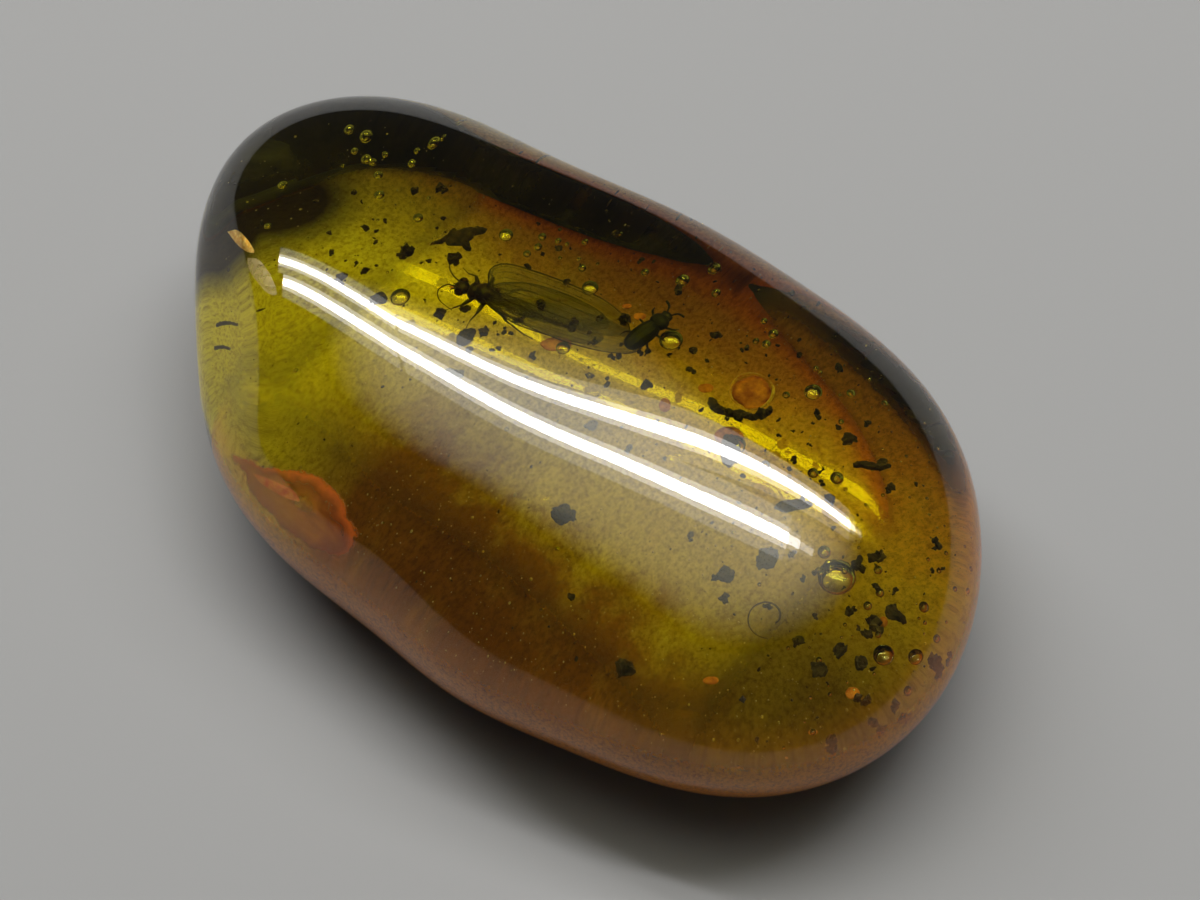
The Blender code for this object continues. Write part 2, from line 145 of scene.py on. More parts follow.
# Larger dark flecks: x, y, length, width, height and heading.
FLECKS = (
    (4.2, -4.1, 1.3, 0.7, 0.5, 16),
    (11.5, 2.6, 1.7, 0.5, 0.4, 52),
    (12.6, 6.5, 1.5, 0.4, 0.4, 46),
    (10.9, 6.8, 0.6, 0.5, 0.4, 20),
    (13.9, 6.2, 0.6, 0.4, 0.4, 80),
    (18.2, 1.8, 1.1, 0.6, 0.5, 10),
    (11.6, -1.9, 0.9, 0.6, 0.4, 60),
    (12.5, -0.1, 0.9, 0.6, 0.4, 100),
    (11.4, -7.8, 0.8, 0.6, 0.5, 70),
    (17.6, -2.5, 0.7, 0.5, 0.4, 30),
    (18.8, -1.0, 0.6, 0.4, 0.4, 120),
    (2.6, 2.9, 0.6, 0.4, 0.4, 40),
    (2.2, -0.3, 0.6, 0.4, 0.3, 75),
    (15.8, 3.2, 0.8, 0.4, 0.4, 55),
    (-9.8, -1.6, 0.6, 0.5, 0.4, 35),
    (-5.3, -0.6, 1.0, 0.6, 0.5, 110),
    (-4.4, -2.2, 0.9, 0.4, 0.3, 15),
)
# Plant threads: x, y, half length, heading and thickness.
THREADS = ((-14.35, -5.7, 0.9, 37, 0.2), (-13.85, -7.1, 0.68, 36, 0.18))
# How finely overlapping shapes are fused, in mm.
BODY_VOXEL = 0.024
DEBRIS_VOXEL = 0.03
BODY_HAIRS = 260
HAIR_SEED = 5

# Each wing: its leading and its trailing edge, in the insect's own axes, and its height.
WINGS = (
    (
        (
            (-0.1, 0.3), (-0.35, 1.1), (0.0, 1.65), (0.8, 1.85), (2.4, 1.85), (4.0, 1.75), (5.2, 1.55),
            (6.2, 1.15), (6.8, 0.65), (6.9, 0.3),
        ),
        ((0.1, 0.1), (0.9, -0.1), (2.0, -0.25), (3.8, -0.4), (5.4, -0.3), (6.6, 0.0), (6.9, 0.3)),
        0.58,
    ),
    (
        (
            (-0.1, -0.4), (0.4, -0.7), (1.6, -0.95), (3.0, -1.15), (4.6, -1.2), (6.0, -1.05), (7.1, -0.75),
            (7.6, -0.4), (7.7, -0.05),
        ),
        ((0.3, -0.1), (0.9, 0.1), (2.6, 0.45), (4.6, 0.65), (6.2, 0.6), (7.3, 0.3), (7.7, -0.05)),
        0.46,
    ),
    (
        ((0.0, 0.35), (0.5, 0.8), (1.8, 1.25), (3.4, 1.3), (4.8, 1.1), (5.6, 0.8), (5.9, 0.45)),
        ((0.3, 0.1), (0.9, 0.1), (2.4, -0.1), (4.4, -0.15), (5.7, 0.1), (5.9, 0.45)),
        0.34,
    ),
    (
        ((0.0, -0.3), (0.5, -0.68), (1.8, -1.06), (3.4, -1.1), (4.8, -0.93), (5.6, -0.68), (5.9, -0.38)),
        ((0.3, -0.1), (0.9, -0.1), (2.4, 0.08), (4.4, 0.13), (5.7, -0.08), (5.9, -0.38)),
        0.22,
    ),
)
# Where the veins lie, as shares of the way from the leading edge to the trailing one.
WING_VEINS = (0.0, 0.07, 0.2, 0.36, 0.52, 0.68, 0.84, 1.0)
WING_ROWS = 59
WING_COLUMNS = 22
FORK_FROM = 34

# Colours of the skin, and of the painted orange-red glow at its rim, from the near side to the far one,
# swayed by a cloudy noise.
SKIN_ACROSS = (-10 * MM, 10 * MM)
SKIN_SWAY = 0.35
SKIN_COLOURS = (
    (0.0, (0.12, 0.02, 0.002)),
    (0.2, (0.21, 0.065, 0.006)),
    (0.36, (0.36, 0.15, 0.018)),
    (0.5, (0.95, 0.8, 0.26)),
    (0.74, (1.0, 0.74, 0.18)),
    (0.93, (0.9, 0.42, 0.07)),
)
RIM_GLOW_COLOURS = (
    (0.1, (1.0, 0.36, 0.003)),
    (0.4, (0.95, 0.31, 0.004)),
    (0.7, (0.85, 0.22, 0.004)),
    (0.92, (1.0, 0.22, 0.015)),
)
SKIN_GRAIN = ((0.34, (0.35, 0.26, 0.15)), (0.56, (1.0, 1.0, 1.0)))
# Colours of the skin's ends and of a painted shade at one corner, and from where to where each of them comes
# in.
SKIN_NARROW_END = (1.0, 0.98, 0.36)
NARROW_END_X = (-6 * MM, -12 * MM)
NARROW_END_Y = (6.5 * MM, 2 * MM)
SKIN_BROAD_END = (0.27, 0.18, 0.035)
BROAD_END_X = (8 * MM, 14.5 * MM)
BROAD_END_Y = (6 * MM, 0.5 * MM)
SHADE_CORNER = (-18.0, 2.2, 0.0)
SHADE_CORNER_REACH = (2.9 * MM, 1.2 * MM)
SHADE_CORNER_COLOUR = (0.05, 0.03, 0.008)
# Colours and cover of the dark sheet of painted shade.
SHADE_SHEET_COLOURS = ((0.35, (0.02, 0.02, 0.004)), (0.7, (0.11, 0.08, 0.015)))
SHADE_SHEET_COVER = 0.96
GRAIN_HEIGHT = 0.02 * MM

# Pixels round the crack with its painted orange-red reflection, its crest and the two flakes.
CRACK_OUTLINE = (
    (222, 452), (240, 458), (262, 463), (286, 470), (310, 472), (326, 486), (342, 500), (350, 520),
    (358, 546), (352, 566), (330, 566), (306, 556), (284, 538), (258, 512), (236, 482),
)
CREST_OUTLINE = (
    (250, 474), (262, 478), (276, 484), (290, 491), (297, 502), (286, 500), (272, 493), (258, 484),
)
FLAKE_OUTLINES = (
    ((225, 231), (234, 229), (243, 236), (252, 250), (245, 251), (235, 244)),
    ((245, 257), (256, 258), (266, 270), (273, 284), (274, 293), (264, 291), (254, 280), (246, 268)),
)
# The crack's colours, a painted orange-red reflection, and its cover, from its middle out to its rim.
CRACK_REFLECTION_COLOURS = ((0.2, (0.55, 0.17, 0.008)), (0.55, (0.34, 0.055, 0.003)), (0.95, (0.95, 0.19, 0.008)))
CRACK_COVER = ((0.1, 0.45), (0.3, 0.75), (0.6, 0.65), (0.84, 0.8), (0.98, 0.0))
# Dark crumbs: x, y and radius in pixels.
DARK_CRUMBS = (
    (354, 194, 4), (415, 191, 5), (440, 186, 6), (329, 234, 3), (332, 252, 3), (376, 242, 3), (374, 219, 2),
    (386, 220, 3), (357, 263, 3), (364, 272, 5), (341, 280, 6), (228, 270, 3), (409, 254, 9), (456, 258, 7),
    (483, 331, 7), (458, 337, 8), (469, 338, 8), (444, 312, 7), (464, 310, 5), (425, 301, 2), (382, 302, 4),
    (455, 367, 9), (521, 319, 4), (539, 306, 6), (514, 312, 2), (499, 291, 3), (505, 331, 3), (512, 333, 4),
    (498, 349, 4), (533, 354, 4), (590, 333, 3), (592, 343, 5), (590, 375, 4), (611, 358, 4), (618, 356, 4),
    (538, 223, 3), (559, 247, 4), (543, 253, 3), (500, 255, 2), (677, 291, 5), (849, 438, 5), (868, 423, 4),
    (817, 413, 4), (838, 428, 3), (794, 431, 2), (779, 437, 3), (813, 424, 2), (811, 445, 2), (859, 456, 2),
    (862, 465, 5), (870, 470, 5), (764, 465, 4), (796, 458, 4), (823, 470, 3), (715, 337, 5), (694, 348, 5),
    (692, 372, 4), (701, 409, 3), (875, 462, 5), (744, 348, 4), (800, 354, 3), (629, 449, 5), (822, 482, 3),
    (828, 497, 6), (790, 468, 3), (833, 528, 3), (792, 555, 3), (777, 508, 5), (788, 508, 6), (567, 515, 9),
    (571, 594, 5), (816, 572, 4), (804, 579, 4), (792, 593, 2), (857, 567, 7), (690, 536, 4), (767, 557, 8),
    (723, 577, 7), (723, 599, 5), (793, 554, 3), (893, 590, 4), (886, 612, 7), (895, 618, 7), (878, 624, 8),
    (869, 636, 6), (858, 627, 3), (851, 610, 5), (842, 647, 8), (820, 674, 7), (798, 640, 5), (815, 616, 3),
    (767, 607, 5), (931, 571, 3), (937, 546, 5), (934, 660, 8), (941, 670, 8), (949, 657, 5), (895, 703, 6),
    (907, 720, 7), (872, 724, 7), (881, 731, 7), (864, 699, 6), (832, 738, 6), (832, 748, 6), (757, 740, 3),
    (625, 320, 7), (640, 352, 4), (600, 318, 4), (575, 322, 4), (556, 318, 3), (430, 262, 4), (470, 352, 5),
)
# The disc-shaped crack: x, y and radius in pixels.
DISC = (752, 391, 19)
# Crumbs painted bright orange as glints: x, y, width and height in pixels. The first of them fills the disc.
PAINTED_GLINT_PLACES = (
    (752, 392, 34, 34), (665, 405, 11, 16), (627, 306, 9, 6), (556, 344, 30, 16), (729, 436, 26, 20),
    (853, 693, 13, 12), (813, 732, 9, 6), (711, 680, 14, 8), (455, 287, 10, 5),
    (640, 316, 12, 8), (706, 388, 14, 10), (884, 622, 8, 10), (560, 300, 16, 4),
)

# Seeds, numbers and places of what is strewn: the stone's box, the streak above which specks
# are many, and the pixels from which they are many at the far side and at the broad end.
CRUMB_SEED = 31
SPECKS = 900
SPECK_SEED = 11
MOTES = 1600
MOTE_SEED = 23
STONE_PX = (215, 975)
STONE_PY = (110, 780)
STREAK_START = (285, 265)
STREAK_SLOPE = 0.52
SPECKS_ABOVE = -20
SPECKS_FROM_PX = 700
SPECKS_FROM_PY = 175
MOTES_BELOW = -30

# Straight lamps as mirrored in the dome: start and end in mm, width, and share of the radiance.
TUBES = (
    ((-288, 68), (-731, -62), 24, 1.0),
    ((200, 381), (-288, 68), 24, 1.0),
    ((219, 393), (200, 381), 20, 0.4),
    ((244, 409), (219, 393), 16, 0.12),
    ((-270, 6), (-647, -109), 32, 1.0),
    ((115, 189), (-270, 6), 32, 1.0),
    ((138, 200), (115, 189), 28, 0.45),
    ((170, 215), (138, 200), 22, 0.15),
)
# The nested strips of each lamp: breadth in widths of the lamp, and share of its radiance.
TUBE_PROFILE = ((0.8, 0.8), (1.6, 0.16), (3.4, 0.05))
TUBE_HEIGHT = 500
TUBE_RADIANCE = 34
TUBE_STEP = 2
# A large dim panel above the lamps, and the studio round them.
PANEL_HEIGHT = 510
PANEL_RIM = (
    (-420, 80), (-304, 165), (-226, 255), (-134, 290), (-10, 305), (110, 350), (220, 400), (320, 360),
    (360, 160), (300, -80), (200, -240), (50, -245), (-60, -215), (-170, -250), (-270, -330), (-370, -310),
    (-410, -130),
)
PANEL_CORE = 0.45
PANEL_RADIANCE = (0.8, 3.6)
PANEL_COLOUR = (1.0, 0.98, 0.8)
PANEL_ACROSS = (-250 * MM, 200 * MM)
PANEL_SLANT = -0.45
WORLD_COLOUR = (0.045, 0.045, 0.05)
FLOOR_COLOUR = (0.2, 0.2, 0.205)
FLOOR_HEIGHT = -0.05 * MM


def main():
    """Makes every piece, then the stage."""
    noise.seed_set(NOISE_SEED)
    stone = stone_mesh(STONE_CELLS)
    sight = Sight(stone)
    inner_skin_stone = stone.copy()
    debris = grained_material("debris", (0.012, 0.008, 0.005), (0.07, 0.04, 0.018), 2.2, 0.8, 0.5)
    made = [
        # A dark sheet of painted shade inside the far flank.
        (painted_shade_sheet(stone.copy()), "debris", ()),
        (clear_amber(stone, sight), "amber", ("amber_upper", "amber_lower")),
        (ground_base(), "debris", ()),
        # The base's skin inside, with painted orange-red glow up the near and broad flanks.
        (inner_skin(inner_skin_stone), "debris", ()),
        # A real crack whose orange-red is painted reflection.
        (crack_with_painted_reflection(sight), "debris", ()),
        (golden_flakes(sight), "debris", ()),
        # Crumbs painted as orange glints, and the disc's rim with a painted golden glint.
        (painted_orange_glints(sight), "debris", ()),
        (insect_body(), "insect", ("winged_insect",)),
        (insect_wings(), "insect", ()),
        (beetle_body(), "beetle", ("small_beetle",)),
        (bark_fragment(debris), "debris", ("bark_fragment",)),
        (debris_clump(debris), "debris", ("debris_clump",)),
        (droppings_pellet(debris), "debris", ("droppings_pellet",)),
        (loose_flecks(debris), "debris", [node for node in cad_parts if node.startswith("dark_fleck")]),
        (fibres(debris), "debris", ("plant_thread_1", "plant_thread_2", "curled_hair")),
        (fine_specks(debris, sight), "debris", ()),
        (haze_motes(sight), "debris", ()),
    ]
    for piece, slot, nodes in made:
        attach(piece, "root")
        if nodes:
            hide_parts(*nodes)
    add_floor()
    add_lights()
    add_camera()


class Shading:
    """A new material, its Principled shader and the nodes that feed it."""

    def __init__(self, name, **values):
        """The material, with some of its shader's sockets set."""
        self.material = bpy.data.materials.new(name)
        self.material.use_nodes = True
        self.nodes, self.links = self.material.node_tree.nodes, self.material.node_tree.links
        self.shader = self.nodes["Principled BSDF"]
        for socket, value in values.items():
            self.shader.inputs[socket.replace("_", " ")].default_value = value

    def node(self, kind, inputs, **settings):
        """The outputs of a new node, each of whose inputs is a value or another node's socket."""
        node = self.nodes.new("ShaderNode" + kind)
        for name, value in settings.items():
            setattr(node, name, value)
        for key, value in inputs.items():
            if isinstance(value, bpy.types.NodeSocket):
                self.links.new(value, node.inputs[key])
            else:
                node.inputs[key].default_value = value
        return node.outputs

    def feed(self, name, socket):
        """Links a socket to one of the shader's."""
        self.links.new(socket, self.shader.inputs[name])

    def place(self):
        """The shaded point, in the object's own axes."""
        return self.node("TexCoord", {})["Object"]

    def shares(self):
        """The two values in the UV map, and an empty third."""
        return self.split(self.node("TexCoord", {})["UV"])

    def split(self, vector):
        """A vector's three parts."""
        return self.node("SeparateXYZ", {"Vector": vector})

    def noise(self, place, scale, detail=6.0, roughness=0.6):
        """Noise of so many patches a mm."""
        inputs = {"Vector": place, "Scale": scale / MM, "Detail": detail, "Roughness": roughness}
        return self.node("TexNoise", inputs)["Fac"]

    def share(self, value, low, high):
        """0 where a value is low, 1 where it is high, and even between."""
        return self.node("MapRange", {"Value": value, "From Min": low, "From Max": high})["Result"]

    def maths(self, operation, first, second):
        """Two sockets, or a socket and a number, put together."""
        return self.node("Math", {0: first, 1: second}, operation=operation)["Value"]

    def mix(self, blend, factor, first, second):
        """One colour over another: each a socket or an (r, g, b)."""
        colours = [(*colour, 1) if isinstance(colour, tuple) else colour for colour in (first, second)]
        inputs = {0: factor, 6: colours[0], 7: colours[1]}
        return self.node("Mix", inputs, data_type="RGBA", blend_type=blend)[2]

    def ramp(self, factor, stops):
        """A colour from a ramp of (position, colour) stops."""
        made = self.node("ValToRGB", {"Fac": factor})["Color"]
        elements = made.node.color_ramp.elements
        while len(elements) < len(stops):
            elements.new(0.5)
        for element, (position, colour) in zip(elements, stops):
            element.position = position
            element.color = (*colour, 1)
        return made


def amber_material():
    """Clear resin: the colour is all in what it absorbs."""
    amber = Shading("amber", Transmission_Weight=1.0, IOR=AMBER_IOR, Roughness=0.0)
    amber.shader.inputs["Base Color"].default_value = (1, 1, 1, 1)
    density = max(AMBER_LOSS)
    colour = (*(1 - loss / density for loss in AMBER_LOSS), 1)
    absorbed = amber.node("VolumeAbsorption", {"Density": density, "Color": colour})["Volume"]
    amber.links.new(absorbed, amber.nodes["Material Output"].inputs["Volume"])
    return amber.material


def grained_material(name, dark, light, scale, roughness, bump, **values):
    """A surface mottled from dark to light by noise of so many patches a mm, with its grain raised."""
    grained = Shading(name, Roughness=roughness, **values)
    place = grained.place()
    grained.feed("Base Color", grained.ramp(grained.noise(place, scale), ((0.35, dark), (0.7, light))))
    height = grained.noise(place, 6 * scale)
    raised = grained.node("Bump", {"Strength": bump, "Distance": GRAIN_HEIGHT, "Height": height})
    grained.feed("Normal", raised["Normal"])
    return grained.material


def outline_radius(bearing):
    """The plan's radius at these bearings, from the closed cubic B-spline of OUTLINE_RADII."""
    radii = np.array(OUTLINE_RADII, float)
    place = (bearing / math.tau) % 1.0 * len(radii)
    span = place.astype(int)
    f = place - span
    weights = ((1 - f) ** 3, 3 * f**3 - 6 * f**2 + 4, -3 * f**3 + 3 * f**2 + 3 * f + 1, f**3)
    return sum(w * radii[(span + k - 1) % len(radii)] for k, w in enumerate(weights)) / 6


def soft_excess(value, softness):
    """Zero below -softness, the value itself above softness, and a smooth bend between."""
    bend = (np.clip(value, -softness, softness) + softness) ** 2 / (4 * softness)
    return np.where(value > softness, value, bend)


def facing(bearing, elevation):
    """The unit vector that points this way, given in degrees."""
    b, e = math.radians(bearing), math.radians(elevation)
    return np.array((math.cos(b) * math.cos(e), math.sin(b) * math.cos(e), math.sin(e)))


def stone_points(ball):
    """Where points of the unit ball lie on the polished stone."""
    x, y, z = ball.T
    edge = x**2 + y**2
    outline = outline_radius(np.arctan2(y, x))
    rise = z * np.sqrt(1 + FULLNESS_X * x**2 + FULLNESS_Y * y**2)
    points = np.stack(
        (
            x * ((1 - edge) * CROWN_HALF_LENGTH + edge * outline) + CROWN_SHIFT_X * rise**2,
            y * ((1 - edge) * CROWN_HALF_WIDTH + edge * outline) + CROWN_SHIFT_Y * rise**2,
            GIRDLE_HEIGHT + DOME_HEIGHT * rise,
        ),
        axis=1,
    )
    normal = facing(END_FLAT_BEARING, END_FLAT_ELEVATION)
    over = soft_excess(points @ normal - END_FLAT_DISTANCE, END_FLAT_SOFTNESS)
    points -= over[:, None] * normal
    points[:, 2] = BASE_LIFT + soft_excess(points[:, 2] - BASE_LIFT, BASE_SOFTNESS)
    middle = (points.min(axis=0) + points.max(axis=0)) / 2
    points[:, :2] -= middle[:2]
    return points


def stone_mesh(cells):
    """The stone's surface: a cube of even squares blown up to a ball and laid on the stone."""
    bm = bmesh.new()
    bmesh.ops.create_cube(bm, size=2)
    bmesh.ops.subdivide_edges(bm, edges=bm.edges[:], cuts=cells - 1, use_grid_fill=True)
    ball = np.tan(np.array([vert.co for vert in bm.verts]) * math.pi / 4)
    ball /= np.linalg.norm(ball, axis=1)[:, None]
    for vert, point in zip(bm.verts, stone_points(ball)):
        vert.co = point
    bmesh.ops.recalc_face_normals(bm, faces=bm.faces)
    return bm


def camera_axes():
    """The camera's right, up and back directions."""
    a, e = math.radians(AZIMUTH), math.radians(ELEVATION)
    back = Vector((math.sin(a) * math.cos(e), -math.cos(a) * math.cos(e), math.sin(e)))
    right = Vector((math.cos(a), math.sin(a), 0))
    return right, back.cross(right), back


class Sight:
    """Carries pixels of the photograph onto the stone, and through it onto the flow layer."""

    def __init__(self, stone):
        """Sight of a stone given as a bmesh in mm."""
        self.tree = BVHTree.FromBMesh(stone)

    def surface(self, px, py):
        """(point, outward normal, direction of sight) where a pixel meets the stone."""
        right, up, back = camera_axes()
        across = (px - PHOTO_SIZE[0] / 2) / FOCAL_PIXELS
        down = (py - PHOTO_SIZE[1] / 2) / FOCAL_PIXELS
        way = (right * across - up * down - back).normalized()
        point, normal, _, _ = self.tree.ray_cast(AIM + back * CAMERA_DISTANCE, way)
        return point, normal, way

    def layer(self, px, py, lift=0.0, depth=0.6):
        """The point of the flow layer seen at a pixel, lift mm above it.

        Where the layer has run out, by the rim, it is the first point of the line of sight that
        lies so many mm deep in the stone.
        """
        point, normal, way = self.surface(px, py)
        eta = 1 / AMBER_IOR
        cosine = -way.dot(normal)
        way = way * eta + normal * (eta * cosine - math.sqrt(1 - eta**2 * (1 - cosine**2)))
        drop = FLOW_HEIGHT + lift + FLOW_RISE_X * point.x + FLOW_RISE_Y * point.y - point.z
        reach = drop / (way.z - FLOW_RISE_X * way.x - FLOW_RISE_Y * way.y)
        if reach > 0 and self.inside(point + way * reach, depth):
            return point + way * reach
        steps = (point + way * 0.25 * k for k in range(2, 40))
        return next((step for step in steps if self.inside(step, depth)), point + way)

    def inside(self, point, depth):
        """Whether a point lies in the stone, at least so many mm from its surface."""
        nearest, normal, _, distance = self.tree.find_nearest(point)
        return distance > depth and normal.dot(point - nearest) < 0


def finished(name, bm, *materials, smooth=True):
    """A piece from a bmesh in mm, linked to the scene in metres."""
    mesh = bpy.data.meshes.new(name)
    bm.to_mesh(mesh)
    bm.free()
    mesh.transform(Matrix.Scale(MM, 4))
    for material in materials:
        mesh.materials.append(material)
    if smooth:
        mesh.shade_smooth()
    obj = bpy.data.objects.new(name, mesh)
    bpy.context.scene.collection.objects.link(obj)
    return obj


def in_second_material(bm, first):
    """Gives the faces from this one on the piece's second material."""
    bm.faces.ensure_lookup_table()
    for face in bm.faces[first:]:
        face.material_index = 1


def close_rings(bm, rings):
    """Fills the first ring of points, and joins each ring to the next."""
    bm.faces.new(rings[0])
    count = len(rings[0])
    for inner, outer in zip(rings, rings[1:]):
        for k in range(count):
            n = (k + 1) % count
            bm.faces.new((inner[k], outer[k], outer[n], inner[n]))


def write_shares(bm, shares):
    """Puts two values for each point, shares(index), in the UV map."""
    uv = bm.loops.layers.uv.new("UVMap")
    bm.verts.index_update()
    for face in bm.faces:
        for loop in face.loops:
            loop[uv].uv = shares(loop.vert.index)


def laid(bm, *place):
    """The bmesh, turned and moved to a place on the flow layer."""
    bmesh.ops.transform(bm, matrix=placed(*place), verts=bm.verts)
    return bm


def pixels_to_mm(pixels):
    """A length seen in the photograph, as a length at the stone."""
    return pixels * CAMERA_DISTANCE / FOCAL_PIXELS


def add_bubble(bm, centre, radii):
    """A void in the resin: a ball whose faces look inwards."""
    matrix = Matrix.Translation(centre) @ Matrix.Diagonal((*radii, 1.0))
    made = bmesh.ops.create_icosphere(bm, subdivisions=3, radius=1, matrix=matrix)
    faces = {face for vert in made["verts"] for face in vert.link_faces}
    bmesh.ops.reverse_faces(bm, faces=list(faces))


def clear_amber(bm, sight):
    """The whole stone in one clear piece, with its bubbles."""
    for px, py, radius in BUBBLES:
        r = pixels_to_mm(radius)
        add_bubble(bm, sight.layer(px, py), (r, r, r if radius < BUBBLE_FLAT_FROM else BUBBLE_FLATNESS * r))

    def likely(px, _):
        """The chance that a bubble under this pixel is kept."""
        return 0.9 if px > TINY_FROM_PX else 0.12

    for point, chance in scattered(sight, TINY_BUBBLES, TINY_SEED, likely):
        r = chance.uniform(*TINY_RADII)
        add_bubble(bm, point, (r, r, r))
    return finished("amber_clear", bm, amber_material())


def base_rim(count):
    """Points of the ball that come out on the flat base's rim, one for each of so many bearings."""
    heights = np.linspace(-0.995, -0.05, 400)
    rim = []
    for turn in np.linspace(0, math.tau, count, endpoint=False):
        flat = np.sqrt(1 - heights**2)
        ball = np.stack((flat * math.cos(turn), flat * math.sin(turn), heights), axis=1)
        rises = heights * np.sqrt(1 + FULLNESS_X * ball[:, 0] ** 2 + FULLNESS_Y * ball[:, 1] ** 2)
        rim.append(ball[np.argmax(rises > -(GIRDLE_HEIGHT - BASE_LIFT) / DOME_HEIGHT)])
    return np.array(rim)


def girdle_balls():
    """Points of the ball round its widest part, which fix the middle of the stone's plan box."""
    turns = np.linspace(0, math.tau, 720, endpoint=False)
    rows = []
    for height in np.linspace(-0.5, 0.5, 41):
        flat = math.sqrt(1 - height**2)
        rows.append(np.stack((flat * np.cos(turns), flat * np.sin(turns), np.full(720, height)), axis=1))
    return np.concatenate(rows)


def ground_base():
    """The weathered skin under the flat base, which gives the stone its golden ground."""
    bm = bmesh.new()
    rim = stone_points(np.concatenate((base_rim(BASE_SIDES), girdle_balls())))[:BASE_SIDES]
    rim = [Vector((x, y, BASE_SKIN_LIFT)) for x, y, _ in rim]
    middle = Vector((*BASE_MIDDLE, BASE_SKIN_LIFT))
    shares = np.linspace(0.04, 0.995, BASE_RINGS)
    close_rings(bm, [[bm.verts.new(middle.lerp(point, share)) for point in rim] for share in shares])
    # The base's outermost ring takes the painted orange-red rim glow.
    write_shares(bm, lambda index: (1.0, smooth_share(shares[index // BASE_SIDES], 0.9, 1.0)))
    return finished("ground_base", bm, skin_material("ground_base"), smooth=False)


def skin_material(name):
    """Yellow at the narrow end, golden along the middle, dark orange-brown near, with a painted red glow at
    the rim and a painted shade at the narrow end's far corner.
    """
    skin = Shading(name, Roughness=0.8)
    place = skin.place()
    x, y, _ = skin.split(place)
    cover, glow_share, _ = skin.shares()
    cloud = skin.noise(place, 0.3, 6.0, 0.65)
    sway = skin.maths("MULTIPLY", skin.maths("SUBTRACT", cloud, 0.5), SKIN_SWAY)
    across = skin.maths("ADD", skin.share(y, *SKIN_ACROSS), sway)
    colour = skin.ramp(across, SKIN_COLOURS)
    narrow = skin.maths("ADD", skin.share(x, *NARROW_END_X), sway)
    narrow = skin.maths("MULTIPLY", narrow, skin.share(y, *NARROW_END_Y))
    colour = skin.mix("MIX", narrow, colour, SKIN_NARROW_END)
    broad = skin.maths("MULTIPLY", skin.share(x, *BROAD_END_X), skin.share(y, *BROAD_END_Y))
    colour = skin.mix("MIX", broad, colour, SKIN_BROAD_END)
    # Painted shade at the narrow end's far corner, where the dark band of shadowed floor seen through the
    # stone runs down.
    away = skin.node("VectorMath", {0: place, 1: Vector(SHADE_CORNER) * MM}, operation="DISTANCE")
    corner = skin.share(away["Value"], *SHADE_CORNER_REACH)
    colour = skin.mix("MIX", corner, colour, SHADE_CORNER_COLOUR)
    # Painted orange-red glow at the rim, over the skin's colour.
    colour = skin.mix("MIX", glow_share, colour, skin.ramp(across, RIM_GLOW_COLOURS))
    grain = skin.ramp(skin.noise(place, 5.0, 9.0, 0.8), SKIN_GRAIN)
    skin.feed("Base Color", skin.mix("MULTIPLY", 0.9, colour, grain))
    skin.feed("Alpha", cover)
    return skin.material


def smooth_share(value, low, high):
    """0 up to low, 1 from high on, and a smooth rise between."""
    share = min(1.0, max(0.0, (value - low) / (high - low)))
    return share * share * (3 - 2 * share)


def skin_sheet(name, bm, cover, rim, material):
    """A sheet just inside the stone where cover(vert) is above 0, with both values in its UV map."""
    bm.normal_update()
    values = [(cover(vert), rim(vert)) for vert in bm.verts]
    write_shares(bm, lambda index: values[index])
    moved = [vert.co - vert.normal * SKIN_SHEET_DEPTH for vert in bm.verts]
    bare = [face for face in bm.faces if max(values[vert.index][0] for vert in face.verts) < 0.02]
    for vert, point in zip(bm.verts, moved):
        vert.co = point
    bmesh.ops.delete(bm, geom=bare, context="FACES")
    return finished(name, bm, material)


def faces_away(vert):
    """How far a point of the stone faces away from the camera, from 0 to 1."""
    outward = Vector((vert.normal.x, vert.normal.y, 0))
    if outward.length < 0.05:
        return 0.0
    return smooth_share(outward.normalized().dot(facing(SHADE_SHEET_BEARING, 0.0)), *SHADE_SHEET_SPREAD)


def above_shade_sheet_edge(vert):
    """0 below the lower edge of the sheet of painted shade, which climbs towards the broad end, and 1 above
    it.
    """
    lowest, climb = SHADE_SHEET_EDGE
    edge = lowest + climb * max(0.0, vert.co.x - 1)
    return smooth_share(vert.co.z, edge - 0.04, edge + 0.16)


def painted_shade_sheet(bm):
    """A dark sheet of painted shade inside the flank that faces away, fading out up the side: it stands in
    for the shadowed floor seen through the stone there.
    """

    def cover(vert):
        """How thick the painted shade is at a point."""
        return faces_away(vert) * above_shade_sheet_edge(vert) * (1 - smooth_share(vert.co.z, *SHADE_SHEET_FADE))

    return skin_sheet("painted_shade_sheet", bm, cover, lambda vert: 0.5, shade_sheet_material())


def inner_skin(bm):
    """The base's skin where it lies on the inside, and its painted orange-red glow up the near and the broad
    flank.
    """

    def cover(vert):
        """How thick the skin is at a point."""
        x, y, z = vert.co
        base = max(
            smooth_share(-y, *INNER_NEAR),
            smooth_share(x, *INNER_BROAD),
            smooth_share(-x, *INNER_NARROW),
            smooth_share(x, 0.0, 4.0) * smooth_share(z, 0.1, 0.2),
        )
        up = 1 - smooth_share(z, *INNER_FADE)
        # Up the flank, the skin carries the painted glow.
        if x > GLOW_FROM_X:
            up = max(up, FLANK_GLOW * (1 - smooth_share(z, *GLOW_FADE)))
        return base * up * (1 - faces_away(vert) * above_shade_sheet_edge(vert))

    def rim(vert):
        """How much of the painted rim glow a point has."""
        return smooth_share(vert.co.z, *RIM_RISE)

    return skin_sheet("inner_skin", bm, cover, rim, skin_material("inner_skin"))


